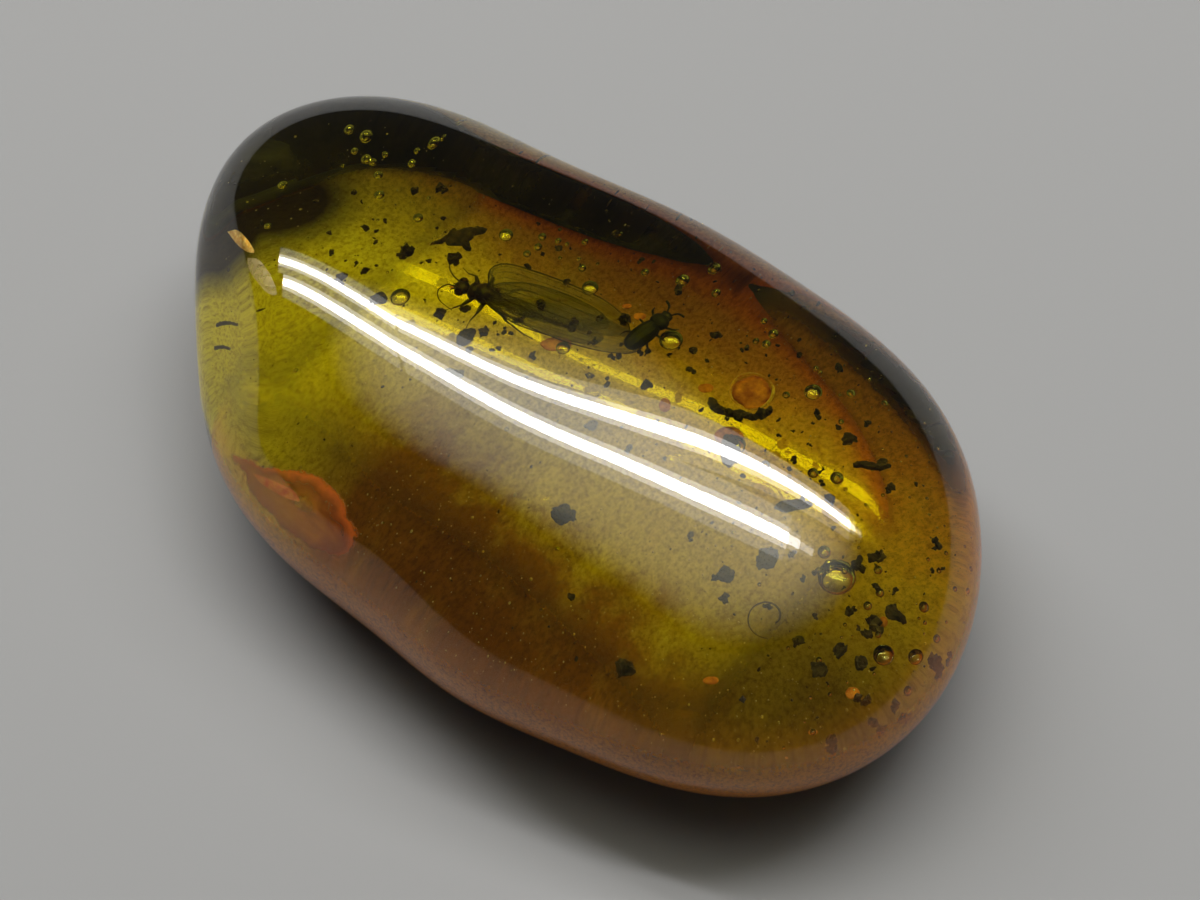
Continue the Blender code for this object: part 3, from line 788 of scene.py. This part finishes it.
def shade_sheet_material():
    """Brown-black painted shade, as thick as its cover says, with thin places."""
    shade_sheet = Shading("painted_shade_sheet", Roughness=0.8)
    cloud = shade_sheet.noise(shade_sheet.place(), 0.35)
    shade_sheet.feed("Base Color", shade_sheet.ramp(cloud, SHADE_SHEET_COLOURS))
    thick = shade_sheet.maths("MULTIPLY", shade_sheet.share(cloud, 0.8, 0.5), SHADE_SHEET_COVER)
    shade_sheet.feed("Alpha", shade_sheet.maths("MULTIPLY", shade_sheet.shares()[0], thick))
    return shade_sheet.material


def sheet_below(sight, outline, depth, cells):
    """A gently buckled sheet under the pixels of an outline, so many mm below the stone's surface."""
    bm = bmesh.new()
    rim = spline([(px, py, 0) for px, py in (*outline, outline[0])], 6)[:-1]
    middle = sum(rim, Vector((0, 0, 0))) / len(rim)
    rings = []
    for k in range(cells + 1):
        ring = []
        for p in rim:
            px, py, _ = middle.lerp(p, max(k, 0.05) / cells)
            point, normal, _ = sight.surface(px, py)
            wave = 0.14 * noise.noise(point * 0.9) + 0.05 * noise.noise(point * 3.1)
            ring.append(bm.verts.new(point - normal * (depth + wave * min(1, 2 - 2 * k / cells))))
        rings.append(ring)
    close_rings(bm, rings)

    def shares(index):
        """How far out a point lies, and how far towards the upper right."""
        ring, place = divmod(index, len(rim))
        away = (rim[place] - middle).normalized()
        return ring / cells, smooth_share(away.x - away.y, -0.6, 0.6)

    write_shares(bm, shares)
    return bm


def paired_sheets(first, second):
    """Two sheets in one mesh, the second of them in the piece's second material."""
    count = len(first.faces)
    add_all(first, second)
    in_second_material(first, count)
    return first


def crack_reflection_material():
    """Painted orange-red reflection, strongest at the crack's rim, clearer and browner in its middle, and
    broken up.
    """
    crack = Shading("crack_painted_reflection", Roughness=0.55)
    out, side, _ = crack.shares()
    cloud = crack.maths("SUBTRACT", crack.noise(crack.place(), 0.9), 0.5)
    out = crack.maths("ADD", out, crack.maths("MULTIPLY", cloud, 0.7))
    weak = crack.maths("MULTIPLY", crack.maths("SUBTRACT", 1.0, side), 0.3)
    crack.feed("Base Color", crack.ramp(crack.maths("SUBTRACT", out, weak), CRACK_REFLECTION_COLOURS))
    crack.feed("Alpha", crack.ramp(out, [(place, (share,) * 3) for place, share in CRACK_COVER]))
    return crack.material


def crack_with_painted_reflection(sight):
    """A healed crack by the near rim of the narrow end, its orange-red a painted reflection of the light
    inside the stone, with a painted bright crest.
    """
    bm = paired_sheets(sheet_below(sight, CRACK_OUTLINE, 0.6, 24), sheet_below(sight, CREST_OUTLINE, 0.35, 6))
    # The crest's bright orange is a painted highlight.
    crest = grained_material("crack_crest_painted_highlight", (0.8, 0.1, 0.008), (1.0, 0.4, 0.05), 2.2, 0.4, 1.0, Alpha=0.6)
    return finished("crack_with_painted_reflection", bm, crack_reflection_material(), crest)


def golden_flakes(sight):
    """Two crinkled flakes by the end flat: a golden one, and a clear one."""
    bm = paired_sheets(*(sheet_below(sight, outline, 0.35, 8) for outline in FLAKE_OUTLINES))
    gold = grained_material("gold_flake", (0.8, 0.38, 0.03), (1.0, 0.75, 0.25), 5.0, 0.3, 1.0, Metallic=0.7)
    clear = grained_material("clear_flake", (0.6, 0.42, 0.25), (1.0, 0.85, 0.6), 4.0, 0.2, 1.0, Alpha=0.4)
    return finished("golden_flakes", bm, gold, clear)


def add_disc_rim(bm, sight):
    """The uneven rim of the disc-shaped crack, which carries a painted golden glint."""
    px, py, radius = DISC
    centre, reach = sight.layer(px, py, -0.5), pixels_to_mm(radius)
    turns = [math.tau * k / 48 for k in range(49)]
    rim = [centre + Vector((math.cos(t), math.sin(t), 0.1 * math.sin(3 * t))) * reach for t in turns]
    add_tube(bm, rim, [0.05 + 0.03 * math.sin(2 * t + 1) for t in turns], 8)


def painted_orange_glints(sight):
    """Ragged translucent crumbs painted bright orange as glints among the dark ones, and the disc's rim with
    its painted golden glint.
    """
    bm = bmesh.new()
    for number, (px, py, width, height) in enumerate(PAINTED_GLINT_PLACES):
        crumb = bmesh.new()
        half = (pixels_to_mm(width) / 2, pixels_to_mm(height) / 2)
        add_ball(crumb, (0, 0, 0), (*half, 0.25 * min(half)), 4)
        roughened(crumb, 0.15 * min(half), 2.0, 40.0 + number)
        place = Matrix.Translation(sight.layer(px, py, -0.6)) @ Matrix.Rotation(math.radians(AZIMUTH), 4, "Z")
        bmesh.ops.transform(crumb, matrix=place, verts=crumb.verts)
        add_all(bm, crumb)
    glint_faces = len(bm.faces)
    add_disc_rim(bm, sight)
    in_second_material(bm, glint_faces)
    # Bright orange painted glints, and a painted golden glint on the disc's rim.
    orange = grained_material(
        "painted_orange_glint", (0.35, 0.06, 0.005), (1.0, 0.36, 0.03), 1.8, 0.5, 0.5, Alpha=0.75
    )
    rim_glint = grained_material("disc_rim_painted_glint", (0.6, 0.2, 0.02), (1.0, 0.8, 0.2), 3.0, 0.3, 0.5, Alpha=0.8)
    return finished("painted_orange_glints", bm, orange, rim_glint)


def placed(place, lift, heading, pitch=0.0):
    """The matrix that lays an inclusion on the flow layer, in mm."""
    x, y = place
    point = Vector((x, y, FLOW_HEIGHT + FLOW_RISE_X * x + FLOW_RISE_Y * y + lift))
    turn = Matrix.Rotation(math.radians(heading), 4, "Z") @ Matrix.Rotation(math.radians(pitch), 4, "Y")
    return Matrix.Translation(point) @ turn


def add_ball(bm, centre, half_sizes, detail=3):
    """A ball drawn out to three half sizes, and its points."""
    matrix = Matrix.Translation(Vector(centre)) @ Matrix.Diagonal((*half_sizes, 1.0))
    return bmesh.ops.create_icosphere(bm, subdivisions=detail, radius=1, matrix=matrix)["verts"]


def spline(points, steps):
    """Points along a smooth curve through the given ones, so many to each span."""
    points = [Vector(p) for p in points]
    padded = [2 * points[0] - points[1], *points, 2 * points[-1] - points[-2]]
    made = []
    for a, b, c, d in zip(padded, padded[1:], padded[2:], padded[3:]):
        for k in range(steps):
            t = k / steps
            curve = 2 * b + (c - a) * t + (2 * a - 5 * b + 4 * c - d) * t**2
            made.append(0.5 * (curve + (3 * b - a - 3 * c + d) * t**3))
    return [*made, points[-1]]


def add_tube(bm, points, radii, sides=8):
    """A closed tube through points, with a radius, or a (side, up) pair of them, at each."""
    rings = []
    for k, point in enumerate(points):
        along = (points[min(k + 1, len(points) - 1)] - points[max(k - 1, 0)]).normalized()
        side = along.cross(Vector((0, 0, 1)))
        side = side.normalized() if side.length > 0.05 else Vector((1, 0, 0))
        up = side.cross(along)
        wide, high = radii[k] if isinstance(radii[k], tuple) else (radii[k], radii[k])
        turns = (math.tau * s / sides for s in range(sides))
        ring = [point + side * wide * math.cos(t) + up * high * math.sin(t) for t in turns]
        rings.append([bm.verts.new(place) for place in ring])
    for a, b in zip(rings, rings[1:]):
        for s in range(sides):
            n = (s + 1) % sides
            bm.faces.new((a[s], a[n], b[n], b[s]))
    bm.faces.new(rings[0][::-1])
    bm.faces.new(rings[-1])
    return rings


def add_taper(bm, points, start, end, sides=6):
    """A tube whose radius goes evenly from start to end."""
    last = len(points) - 1
    add_tube(bm, points, [start + (end - start) * k / last for k in range(last + 1)], sides)


def fused(bm, voxel, smoothing=4):
    """One smooth skin round overlapping shapes."""
    mesh = bpy.data.meshes.new("shapes")
    bm.to_mesh(mesh)
    bm.free()
    obj = bpy.data.objects.new("shapes", mesh)
    bpy.context.scene.collection.objects.link(obj)
    remesh = obj.modifiers.new("skin", "REMESH")
    remesh.mode = "VOXEL"
    remesh.voxel_size = voxel
    smooth = obj.modifiers.new("smooth", "SMOOTH")
    smooth.factor = 0.5
    smooth.iterations = smoothing
    skinned = bmesh.new()
    skinned.from_object(obj, bpy.context.evaluated_depsgraph_get())
    bpy.data.objects.remove(obj)
    return skinned


def add_hairs(bm, count, length, seed, keep):
    """Short stiff hairs standing on the mesh, where keep(point) is true."""
    chance = random.Random(seed)
    bm.normal_update()
    roots = [(vert.co.copy(), vert.normal.copy()) for vert in bm.verts if keep(vert.co)]
    for point, normal in chance.sample(roots, min(count, len(roots))):
        lean = Vector((0.8, chance.uniform(-0.3, 0.3), chance.uniform(-0.2, 0.3)))
        reach = length * chance.uniform(0.6, 1.2)
        tip = point + (normal + lean).normalized() * reach
        bend = point.lerp(tip, 0.5) + normal * 0.1 * reach
        add_taper(bm, [point - normal * 0.02, bend, tip], 0.009, 0.002, 3)


def insect_leg(bm, side, root_u, knee, ankle, toe):
    """Coxa, thick femur, thin tibia with spurs and a jointed foot."""
    root = Vector((root_u, 0.22 * side, -0.22))
    knee, ankle, toe = (Vector((u, v * side, w)) for u, v, w in (knee, ankle, toe))
    add_ball(bm, root, (0.13, 0.13, 0.12), 2)
    femur = spline([root, root.lerp(knee, 0.5) + Vector((0, 0, 0.05)), knee], 5)
    add_tube(bm, femur, [0.07 + 0.045 * math.sin(math.pi * k / 10) for k in range(11)], 8)
    add_taper(bm, spline([knee, knee.lerp(ankle, 0.5), ankle], 4), 0.055, 0.04, 7)
    for turn in (-1, 1):
        add_taper(bm, [ankle, ankle + Vector((0.12, 0.05 * turn, -0.08))], 0.015, 0.003, 4)
    for k in range(4):
        start, end = ankle.lerp(toe, k / 4), ankle.lerp(toe, (k + 0.9) / 4)
        add_taper(bm, [start, end], 0.022, 0.034, 6)


def insect_body():
    """Head with eyes, feelers and palps, thorax, ringed abdomen and six legs."""
    bm = bmesh.new()
    for centre, half_sizes in (
        ((-1.25, 0, 0), (0.34, 0.4, 0.33)),
        ((-1.48, 0, -0.06), (0.17, 0.24, 0.2)),
        ((-0.97, 0, 0), (0.2, 0.22, 0.2)),
        ((-0.7, 0, 0.05), (0.27, 0.47, 0.38)),
        ((-0.15, 0, 0.16), (0.5, 0.55, 0.46)),
        ((-0.05, 0, -0.1), (0.6, 0.5, 0.38)),
        ((0.4, 0, 0.12), (0.4, 0.46, 0.38)),
        ((0.25, 0, 0.42), (0.2, 0.2, 0.14)),
        ((-0.1, 0.42, 0.3), (0.16, 0.14, 0.1)),
        ((-0.1, -0.42, 0.3), (0.16, 0.14, 0.1)),
    ):
        add_ball(bm, centre, half_sizes)
    rings, widths = [], []
    for k in range(8):
        swell = math.sin(math.pi * (0.3 + 0.6 * k / 7)) + 0.06
        for step, share in ((0.0, 0.86), (0.1, 0.94), (0.35, 1.0), (0.47, 0.97), (0.51, 0.84)):
            rings.append(Vector((0.5 + 0.55 * k + step, 0, -0.13 - 0.015 * k)))
            widths.append((0.44 * swell * share, 0.36 * swell * share))
    add_tube(bm, rings, widths, 20)
    for side in (1, -1):
        insect_leg(bm, side, -0.5, (-0.9, 0.85, -0.1), (-1.3, 1.0, -0.55), (-1.7, 1.25, -0.6))
        insect_leg(bm, side, 0.0, (-0.1, 1.05, -0.1), (-0.3, 1.35, -0.6), (-0.3, 1.8, -0.65))
        insect_leg(bm, side, 0.5, (1.3, 0.95, -0.15), (2.2, 1.15, -0.6), (2.8, 1.25, -0.65))
        palp = [(-1.52, 0.1 * side, -0.15), (-1.72, 0.16 * side, -0.28), (-1.74, 0.2 * side, -0.48)]
        add_taper(bm, spline(palp, 4), 0.045, 0.025, 7)
        add_taper(bm, [Vector((4.7, 0.06 * side, -0.2)), Vector((4.95, 0.16 * side, -0.22))], 0.04, 0.02, 6)
    bm = fused(bm, BODY_VOXEL)
    for route in (
        ((-1.4, 0.15, 0.2), (-1.85, 0.35, 0.3), (-2.2, 0.75, 0.28), (-2.2, 1.25, 0.2), (-1.9, 1.6, 0.1)),
        ((-1.4, -0.15, 0.2), (-1.9, -0.2, 0.3), (-2.2, -0.6, 0.28), (-1.95, -1.05, 0.2), (-1.2, -1.35, 0.1)),
    ):
        line = spline(route, 12)
        beads = [(0.05 - 0.0006 * k) * (1.0 if k % 2 else 0.72) for k in range(len(line))]
        add_tube(bm, line, beads, 8)
    add_hairs(bm, BODY_HAIRS, 0.2, HAIR_SEED, lambda p: p.z > -0.3 and p.x > -1.2)
    body_faces = len(bm.faces)
    for side in (1, -1):
        add_ball(bm, (-1.3, 0.32 * side, 0.05), (0.22, 0.19, 0.24), 4)
    in_second_material(bm, body_faces)
    laid(bm, *INSECT_PLACE)
    cuticle = grained_material("insect_cuticle", (0.006, 0.004, 0.003), (0.05, 0.026, 0.012), 3.0, 0.42, 0.6)
    eyes = grained_material("insect_eyes", (0.02, 0.006, 0.003), (0.09, 0.03, 0.01), 12.0, 0.25, 1.0)
    return finished("insect_body", bm, cuticle, eyes)


def even_curve(points, count):
    """So many points, evenly spaced along the smooth curve through the given (u, v) points."""
    line = np.array(spline([(u, v, 0) for u, v in points], 12))[:, :2]
    run = np.concatenate(([0], np.cumsum(np.linalg.norm(np.diff(line, axis=0), axis=1))))
    wanted = np.linspace(0, run[-1], count)
    return np.stack([np.interp(wanted, run, line[:, k]) for k in range(2)], axis=1)


def wing_point(edges, along, across):
    """A point of a wing's membrane, pleated between its veins and sagging to its tip."""
    lead, trail, height = edges
    u, v = lead[along] * (1 - across) + trail[along] * across
    pleat = 0.02 * math.sin(across * math.pi * 7)
    ripple = 0.05 * noise.noise(Vector((u * 0.9, v * 0.9, height * 9)))
    return Vector((u, v, height + pleat + ripple - 0.004 * u**2))


def add_membrane(bm, edges):
    """The thin closed membrane of a wing."""
    rows, columns = range(WING_ROWS), range(WING_COLUMNS)
    sheets = []
    for lift in (0.008, -0.008):
        raised = Vector((0, 0, lift))
        points = [[wing_point(edges, k, s / columns[-1]) + raised for s in columns] for k in rows]
        sheets.append([[bm.verts.new(point) for point in row] for row in points])
    top, low = sheets
    for k in rows[:-1]:
        for s in columns[:-1]:
            bm.faces.new((top[k][s], top[k][s + 1], top[k + 1][s + 1], top[k + 1][s]))
            bm.faces.new((low[k][s], low[k + 1][s], low[k + 1][s + 1], low[k][s + 1]))
    rim = [(k, 0) for k in rows] + [(rows[-1], s) for s in columns[1:]]
    rim += [(k, columns[-1]) for k in rows[-2::-1]] + [(0, s) for s in columns[-2:0:-1]]
    for (a, b), (c, d) in zip(rim, rim[1:] + rim[:1]):
        bm.faces.new((top[a][b], top[c][d], low[c][d], low[a][b]))


def add_veins(bm, edges):
    """A wing's raised veins, forked towards the rim, and its cross veins."""
    for row, across in enumerate(WING_VEINS):
        thick = 0.04 if across == 0.0 else 0.013
        line = [wing_point(edges, k, across) for k in range(0, WING_ROWS, 2)]
        add_taper(bm, line, thick, 0.6 * thick, 5)
        if 0 < row < len(WING_VEINS) - 1:
            shift = 0.5 * (WING_VEINS[row + 1] - across)
            steps = range(FORK_FROM, WING_ROWS, 3)
            places = [(k, across + shift * min(1, (k - FORK_FROM) / 16)) for k in steps]
            add_taper(bm, [wing_point(edges, *place) for place in places], 0.01, 0.007, 5)
    for row, (a, b) in enumerate(zip(WING_VEINS, WING_VEINS[1:])):
        for k in range(10 + 3 * row, WING_ROWS - 5, 11 + row % 3):
            add_taper(bm, [wing_point(edges, k, across) for across in (a, b)], 0.008, 0.008, 4)


def add_wing(bm, lead, trail, height):
    """A wing of membrane and veins, and from which face on the veins are."""
    edges = (even_curve(lead, WING_ROWS + 1), even_curve(trail, WING_ROWS + 1), height)
    add_membrane(bm, edges)
    veins_from = len(bm.faces)
    add_veins(bm, edges)
    return veins_from


def insect_wings():
    """Four folded wings, of smoky membrane with dark veins."""
    bm = bmesh.new()
    for wing in WINGS:
        in_second_material(bm, add_wing(bm, *wing))
    laid(bm, *INSECT_PLACE)
    membrane = grained_material(
        "wing_membrane", (0.02, 0.014, 0.008), (0.22, 0.15, 0.07), 1.3, 0.35, 0.4, Alpha=0.27
    )
    veins = grained_material("wing_veins", (0.008, 0.005, 0.003), (0.03, 0.017, 0.008), 4.0, 0.5, 0.3)
    return finished("insect_wings", bm, membrane, veins)


def beetle_body():
    """A capsule of ribbed wing cases, a pronotum, a head, short legs and hooked feelers."""
    bm = bmesh.new()
    rings = 44
    points, sizes = [], []
    for k in range(rings + 1):
        t = -1 + 2 * k / rings
        points.append(Vector((0.3 + 1.0 * t, 0, 0)))
        half = max(0.02, (1 - abs(t) ** 2.6) ** 0.5)
        sizes.append((0.5 * half, 0.4 * half))
    rows = add_tube(bm, points, sizes, 72)
    for point, ring in zip(points, rows):
        for s, vert in enumerate(ring):
            turn = math.tau * s / 72
            rib = 0.02 * math.cos(12 * turn) if math.sin(turn) > 0 else 0.0
            vert.co = point + (vert.co - point) * (1 + rib)
    for centre, half_sizes in (
        ((-0.72, 0, 0), (0.42, 0.46, 0.36)),
        ((-1.12, 0, -0.04), (0.25, 0.29, 0.23)),
        ((-1.2, 0.2, 0.02), (0.1, 0.1, 0.1)),
        ((-1.2, -0.2, 0.02), (0.1, 0.1, 0.1)),
    ):
        add_ball(bm, centre, half_sizes, 4)
    for side in (1, -1):
        for root, toe in ((-0.7, -1.15), (-0.2, -0.3), (0.3, 0.9)):
            knee = ((root + toe) / 2, 0.68 * side, -0.2)
            leg = [(root, 0.25 * side, -0.2), knee, (toe, 0.82 * side, -0.36)]
            add_taper(bm, spline(leg, 6), 0.07, 0.03, 8)
        feeler = spline([(-1.28, 0.12 * side, 0.05), (-1.55, 0.3 * side, 0.1), (-1.65, 0.6 * side, 0.05)], 8)
        add_tube(bm, feeler, [0.035 + 0.012 * (k % 2) + 0.0012 * k for k in range(len(feeler))], 7)
    laid(bm, *BEETLE_PLACE)
    cuticle = grained_material("beetle_cuticle", (0.002, 0.002, 0.003), (0.014, 0.01, 0.008), 6.0, 0.62, 1.0)
    return finished("beetle", bm, cuticle)


def roughened(bm, amount, patches, seed):
    """Pushes a mesh's points about by noise of so many patches a mm, then by finer noise."""
    shift = Vector((seed, 0, 0))
    for vert in bm.verts:
        vert.co += noise.noise_vector(vert.co * patches + shift) * amount
        vert.co += noise.noise_vector(vert.co * patches * 3.3 + shift) * amount * 0.4
    return bm


def add_lump(bm, centre, half_sizes, heading, detail=3):
    """A ball drawn out to three half sizes and turned."""
    matrix = Matrix.Translation(Vector(centre)) @ Matrix.Rotation(math.radians(heading), 4, "Z")
    matrix = matrix @ Matrix.Diagonal((*half_sizes, 1.0))
    bmesh.ops.create_icosphere(bm, subdivisions=detail, radius=1, matrix=matrix)


def fused_lumps(bm, amount, patches, seed):
    """Overlapping lumps as one rough crumb."""
    return roughened(fused(bm, DEBRIS_VOXEL, 2), amount, patches, seed)


def bark_fragment(material):
    """A ragged shred by the insect's head."""
    bm = bmesh.new()
    for lump in (
        ((0.0, 0.0, 0.0), (0.7, 0.42, 0.3), 10),
        ((-0.95, 0.1, 0.0), (0.6, 0.16, 0.16), 12),
        ((0.8, 0.15, 0.05), (0.55, 0.22, 0.18), -15),
        ((0.15, -0.5, -0.05), (0.2, 0.36, 0.18), 0),
        ((-0.35, 0.35, 0.05), (0.35, 0.16, 0.14), 35),
    ):
        add_lump(bm, *lump)
    return finished("bark", laid(fused_lumps(bm, 0.12, 2.4, 1.0), *BARK_PLACE), material)


def debris_clump(material):
    """Matted debris, bent like a bow."""
    bm = bmesh.new()
    for k in range(9):
        turn = math.radians(-64 + 16 * k)
        centre = (1.38 * math.sin(turn), 0.75 * math.cos(turn) - 0.75, 0.06 * math.sin(2.4 * k))
        heading = -math.degrees(turn) + 25 * math.sin(3.1 * k)
        add_lump(bm, centre, (0.32, 0.2 + 0.07 * math.sin(1.9 * k), 0.2), heading)
    return finished("matted_debris", laid(fused_lumps(bm, 0.13, 2.6, 2.0), *CLUMP_PLACE), material)


def droppings_pellet(material):
    """A crumbly oval pellet."""
    bm = bmesh.new()
    add_lump(bm, (0, 0, 0), (0.8, 0.46, 0.38), 0)
    add_lump(bm, (0.35, 0.2, 0.1), (0.32, 0.26, 0.24), 30)
    add_lump(bm, (-0.4, -0.15, 0.05), (0.35, 0.3, 0.26), -20)
    return finished("pellet", laid(fused_lumps(bm, 0.09, 3.2, 3.0), *PELLET_PLACE), material)


def loose_flecks(material):
    """The larger dark flecks, each a ragged crumb where its solid lies."""
    bm = bmesh.new()
    for number, (x, y, length, width, height, heading) in enumerate(FLECKS):
        crumb = bmesh.new()
        add_lump(crumb, (0, 0, 0), (length / 2, width / 2, height / 2), 0, 4)
        add_lump(crumb, (0.2 * length, 0.2 * width, 0), (length / 4, width / 3, height / 3), 40, 3)
        roughened(crumb, 0.42 * width, 2.6, 10.0 + number)
        add_all(bm, laid(crumb, (x, y), 0, heading))
    return finished("loose_flecks", bm, material)


def add_all(bm, other):
    """Moves everything of another bmesh into this one."""
    mesh = bpy.data.meshes.new("passing")
    other.to_mesh(mesh)
    other.free()
    bm.from_mesh(mesh)
    bpy.data.meshes.remove(mesh)


def fibres(material):
    """The two stiff threads and the curled hair."""
    bm = bmesh.new()
    for x, y, half_length, heading, thickness in THREADS:
        line = spline([(-half_length, 0, 0), (0, 0.08, 0.05), (half_length, 0, 0)], 10)
        thread = bmesh.new()
        add_tube(thread, line, [(0.5 * thickness, 0.35 * thickness)] * len(line), 10)
        roughened(thread, 0.05, 4.0, x)
        add_all(bm, laid(thread, (x, y), 0, heading))
    curl = []
    for k in range(13):
        turn = 0.45 * k
        reach = 0.35 + 0.06 * k
        curl.append((reach * math.cos(turn), reach * math.sin(turn), 0.02 * k - 0.12))
    hair = bmesh.new()
    add_taper(hair, spline(curl, 5), 0.05, 0.02, 8)
    add_all(bm, laid(hair, *HAIR_PLACE))
    return finished("fibres", bm, material)


def scattered(sight, count, seed, likely):
    """So many points on the flow layer under pixels of the stone, picked by likely(px, py)."""
    chance = random.Random(seed)
    found = []
    while len(found) < count:
        px, py = chance.uniform(*STONE_PX), chance.uniform(*STONE_PY)
        if chance.random() > likely(px, py) or sight.surface(px, py)[0] is None:
            continue
        point = sight.layer(px, py, chance.gauss(0, 0.7))
        if sight.inside(point, 0.4):
            found.append((point, chance))
    return found


def above_streak(px, py):
    """How far a pixel lies above the lower lamp's streak, in pixels."""
    start_px, start_py = STREAK_START
    return start_py + STREAK_SLOPE * (px - start_px) - py


def fine_specks(material, sight):
    """Dark crumbs and hundreds of specks, most of them beyond the streaks and at the broad end."""

    def likely(px, py):
        """The chance that a speck under this pixel is kept."""
        if above_streak(px, py) > SPECKS_ABOVE and py > SPECKS_FROM_PY:
            return 0.9
        return 0.4 if px > SPECKS_FROM_PX else 0.07

    bm = bmesh.new()
    chance = random.Random(CRUMB_SEED)
    for number, (px, py, radius) in enumerate(DARK_CRUMBS):
        point = sight.layer(px, py, chance.uniform(-0.3, 0.5))
        free = all((point.xy - Vector(fleck[:2])).length > 0.55 * fleck[2] for fleck in FLECKS)
        if free and sight.inside(point, 0.5):
            size = pixels_to_mm(radius)
            for k in range(3):
                part = point + Vector([chance.gauss(0, 0.35 * size) for _ in range(3)])
                add_crumb(bm, part, [size * chance.uniform(0.35, 0.75) for _ in range(3)], 7 * number + k)
    for number, (point, chance) in enumerate(scattered(sight, SPECKS, SPECK_SEED, likely)):
        size = min(0.14, 0.029 * math.exp(chance.gauss(0, 0.6)))
        add_crumb(bm, point, [size * chance.uniform(0.5, 1.6) for _ in range(3)], number)
    return finished("fine_specks", bm, material, smooth=False)


def add_crumb(bm, centre, half_sizes, seed):
    """A small broken crumb."""
    size = min(half_sizes)
    for vert in add_ball(bm, centre, half_sizes, 2 if size > 0.06 else 1):
        vert.co += noise.noise_vector(vert.co * 6 + Vector((seed, 0, 0))) * size * 1.3


def haze_motes(sight):
    """Fine pale motes that cloud the near side."""

    def likely(px, py):
        """The chance that a mote under this pixel is kept."""
        return 0.8 if above_streak(px, py) < MOTES_BELOW else 0.25

    bm = bmesh.new()
    for point, chance in scattered(sight, MOTES, MOTE_SEED, likely):
        size = 0.022 * math.exp(chance.gauss(0, 0.4))
        point.z -= chance.uniform(0.5, 5.0)
        if sight.inside(point, 0.4):
            add_ball(bm, point, (size, size, size), 1)
    motes = grained_material("haze", (0.35, 0.25, 0.08), (0.8, 0.7, 0.4), 2.0, 0.6, 0.2)
    return finished("haze_motes", bm, motes, smooth=False)


def add_floor():
    """A plain pale floor, just under the stone."""
    bm = bmesh.new()
    bmesh.ops.create_grid(bm, x_segments=1, y_segments=1, size=1500)
    floor_paint = Shading("floor", Roughness=0.9)
    floor_paint.shader.inputs["Base Color"].default_value = (*FLOOR_COLOUR, 1)
    floor = finished("floor", bm, floor_paint.material, smooth=False)
    floor.location.z = FLOOR_HEIGHT


def add_tube_light(name, start, end, width, share):
    """A straight lamp over the stone, from one (x, y) to another, of nested strips for soft edges."""
    for layer, (breadth, part) in enumerate(TUBE_PROFILE):
        first, last = (Vector((x, y, TUBE_HEIGHT + TUBE_STEP * layer)) * MM for x, y in (start, end))
        light = bpy.data.lights.new(f"{name}_{layer}", "AREA")
        light.shape = "RECTANGLE"
        light.size = (last - first).length
        light.size_y = breadth * width * MM
        light.energy = part * share * TUBE_RADIANCE * math.pi * light.size * light.size_y
        obj = bpy.data.objects.new(light.name, light)
        obj.location = (first + last) / 2
        obj.rotation_euler.z = math.atan2(last.y - first.y, last.x - first.x)
        bpy.context.scene.collection.objects.link(obj)


def add_soft_panel():
    """A large dim panel above the lamps, dark at its rim and brighter towards its far side."""
    bm = bmesh.new()
    rim = spline([(x, y, PANEL_HEIGHT) for x, y in (*PANEL_RIM, PANEL_RIM[0])], 4)[:-1][::-1]
    middle = sum(rim, Vector((0, 0, 0))) / len(rim)
    shares = (0.02, PANEL_CORE, 0.6, 0.72, 0.84, 0.92, 1.0)
    close_rings(bm, [[bm.verts.new(middle.lerp(p, share)) for p in rim] for share in shares])
    write_shares(bm, lambda index: (1 - smooth_share(shares[index // len(rim)], PANEL_CORE, 1.0), 0.5))
    panel = Shading("soft_panel")
    dim, _, _ = panel.shares()
    x, y, _ = panel.split(panel.place())
    across = panel.maths("ADD", y, panel.maths("MULTIPLY", x, PANEL_SLANT))
    low, high = PANEL_RADIANCE
    bright = panel.maths("MULTIPLY", panel.share(across, *PANEL_ACROSS), high - low)
    strength = panel.maths("MULTIPLY", panel.maths("ADD", bright, low), dim)
    glow = panel.node("Emission", {"Color": (*PANEL_COLOUR, 1), "Strength": strength})["Emission"]
    panel.nodes.remove(panel.shader)
    panel.links.new(glow, panel.nodes["Material Output"].inputs["Surface"])
    finished("soft_panel", bm, panel.material, smooth=False)


def add_lights():
    """The lamps, the panel and the dim studio round them."""
    for number, tube in enumerate(TUBES, 1):
        add_tube_light(f"tube_{number}", *tube)
    add_soft_panel()
    world = bpy.data.worlds.new("studio")
    world.use_nodes = True
    world.node_tree.nodes["Background"].inputs["Color"].default_value = (*WORLD_COLOUR, 1)
    bpy.context.scene.world = world


def add_camera():
    """The photograph's camera."""
    camera = bpy.data.cameras.new("camera")
    camera.sensor_width = SENSOR_WIDTH
    camera.lens = FOCAL_PIXELS / PHOTO_SIZE[0] * SENSOR_WIDTH
    camera.clip_start = 0.01
    camera.clip_end = 10
    obj = bpy.data.objects.new("camera", camera)
    right, up, back = camera_axes()
    facing_stone = Matrix((right, up, back)).transposed().to_4x4()
    obj.matrix_world = Matrix.Translation((AIM + back * CAMERA_DISTANCE) * MM) @ facing_stone
    bpy.context.scene.collection.objects.link(obj)
    bpy.context.scene.camera = obj
    bpy.context.scene.view_settings.view_transform = "Standard"


main()
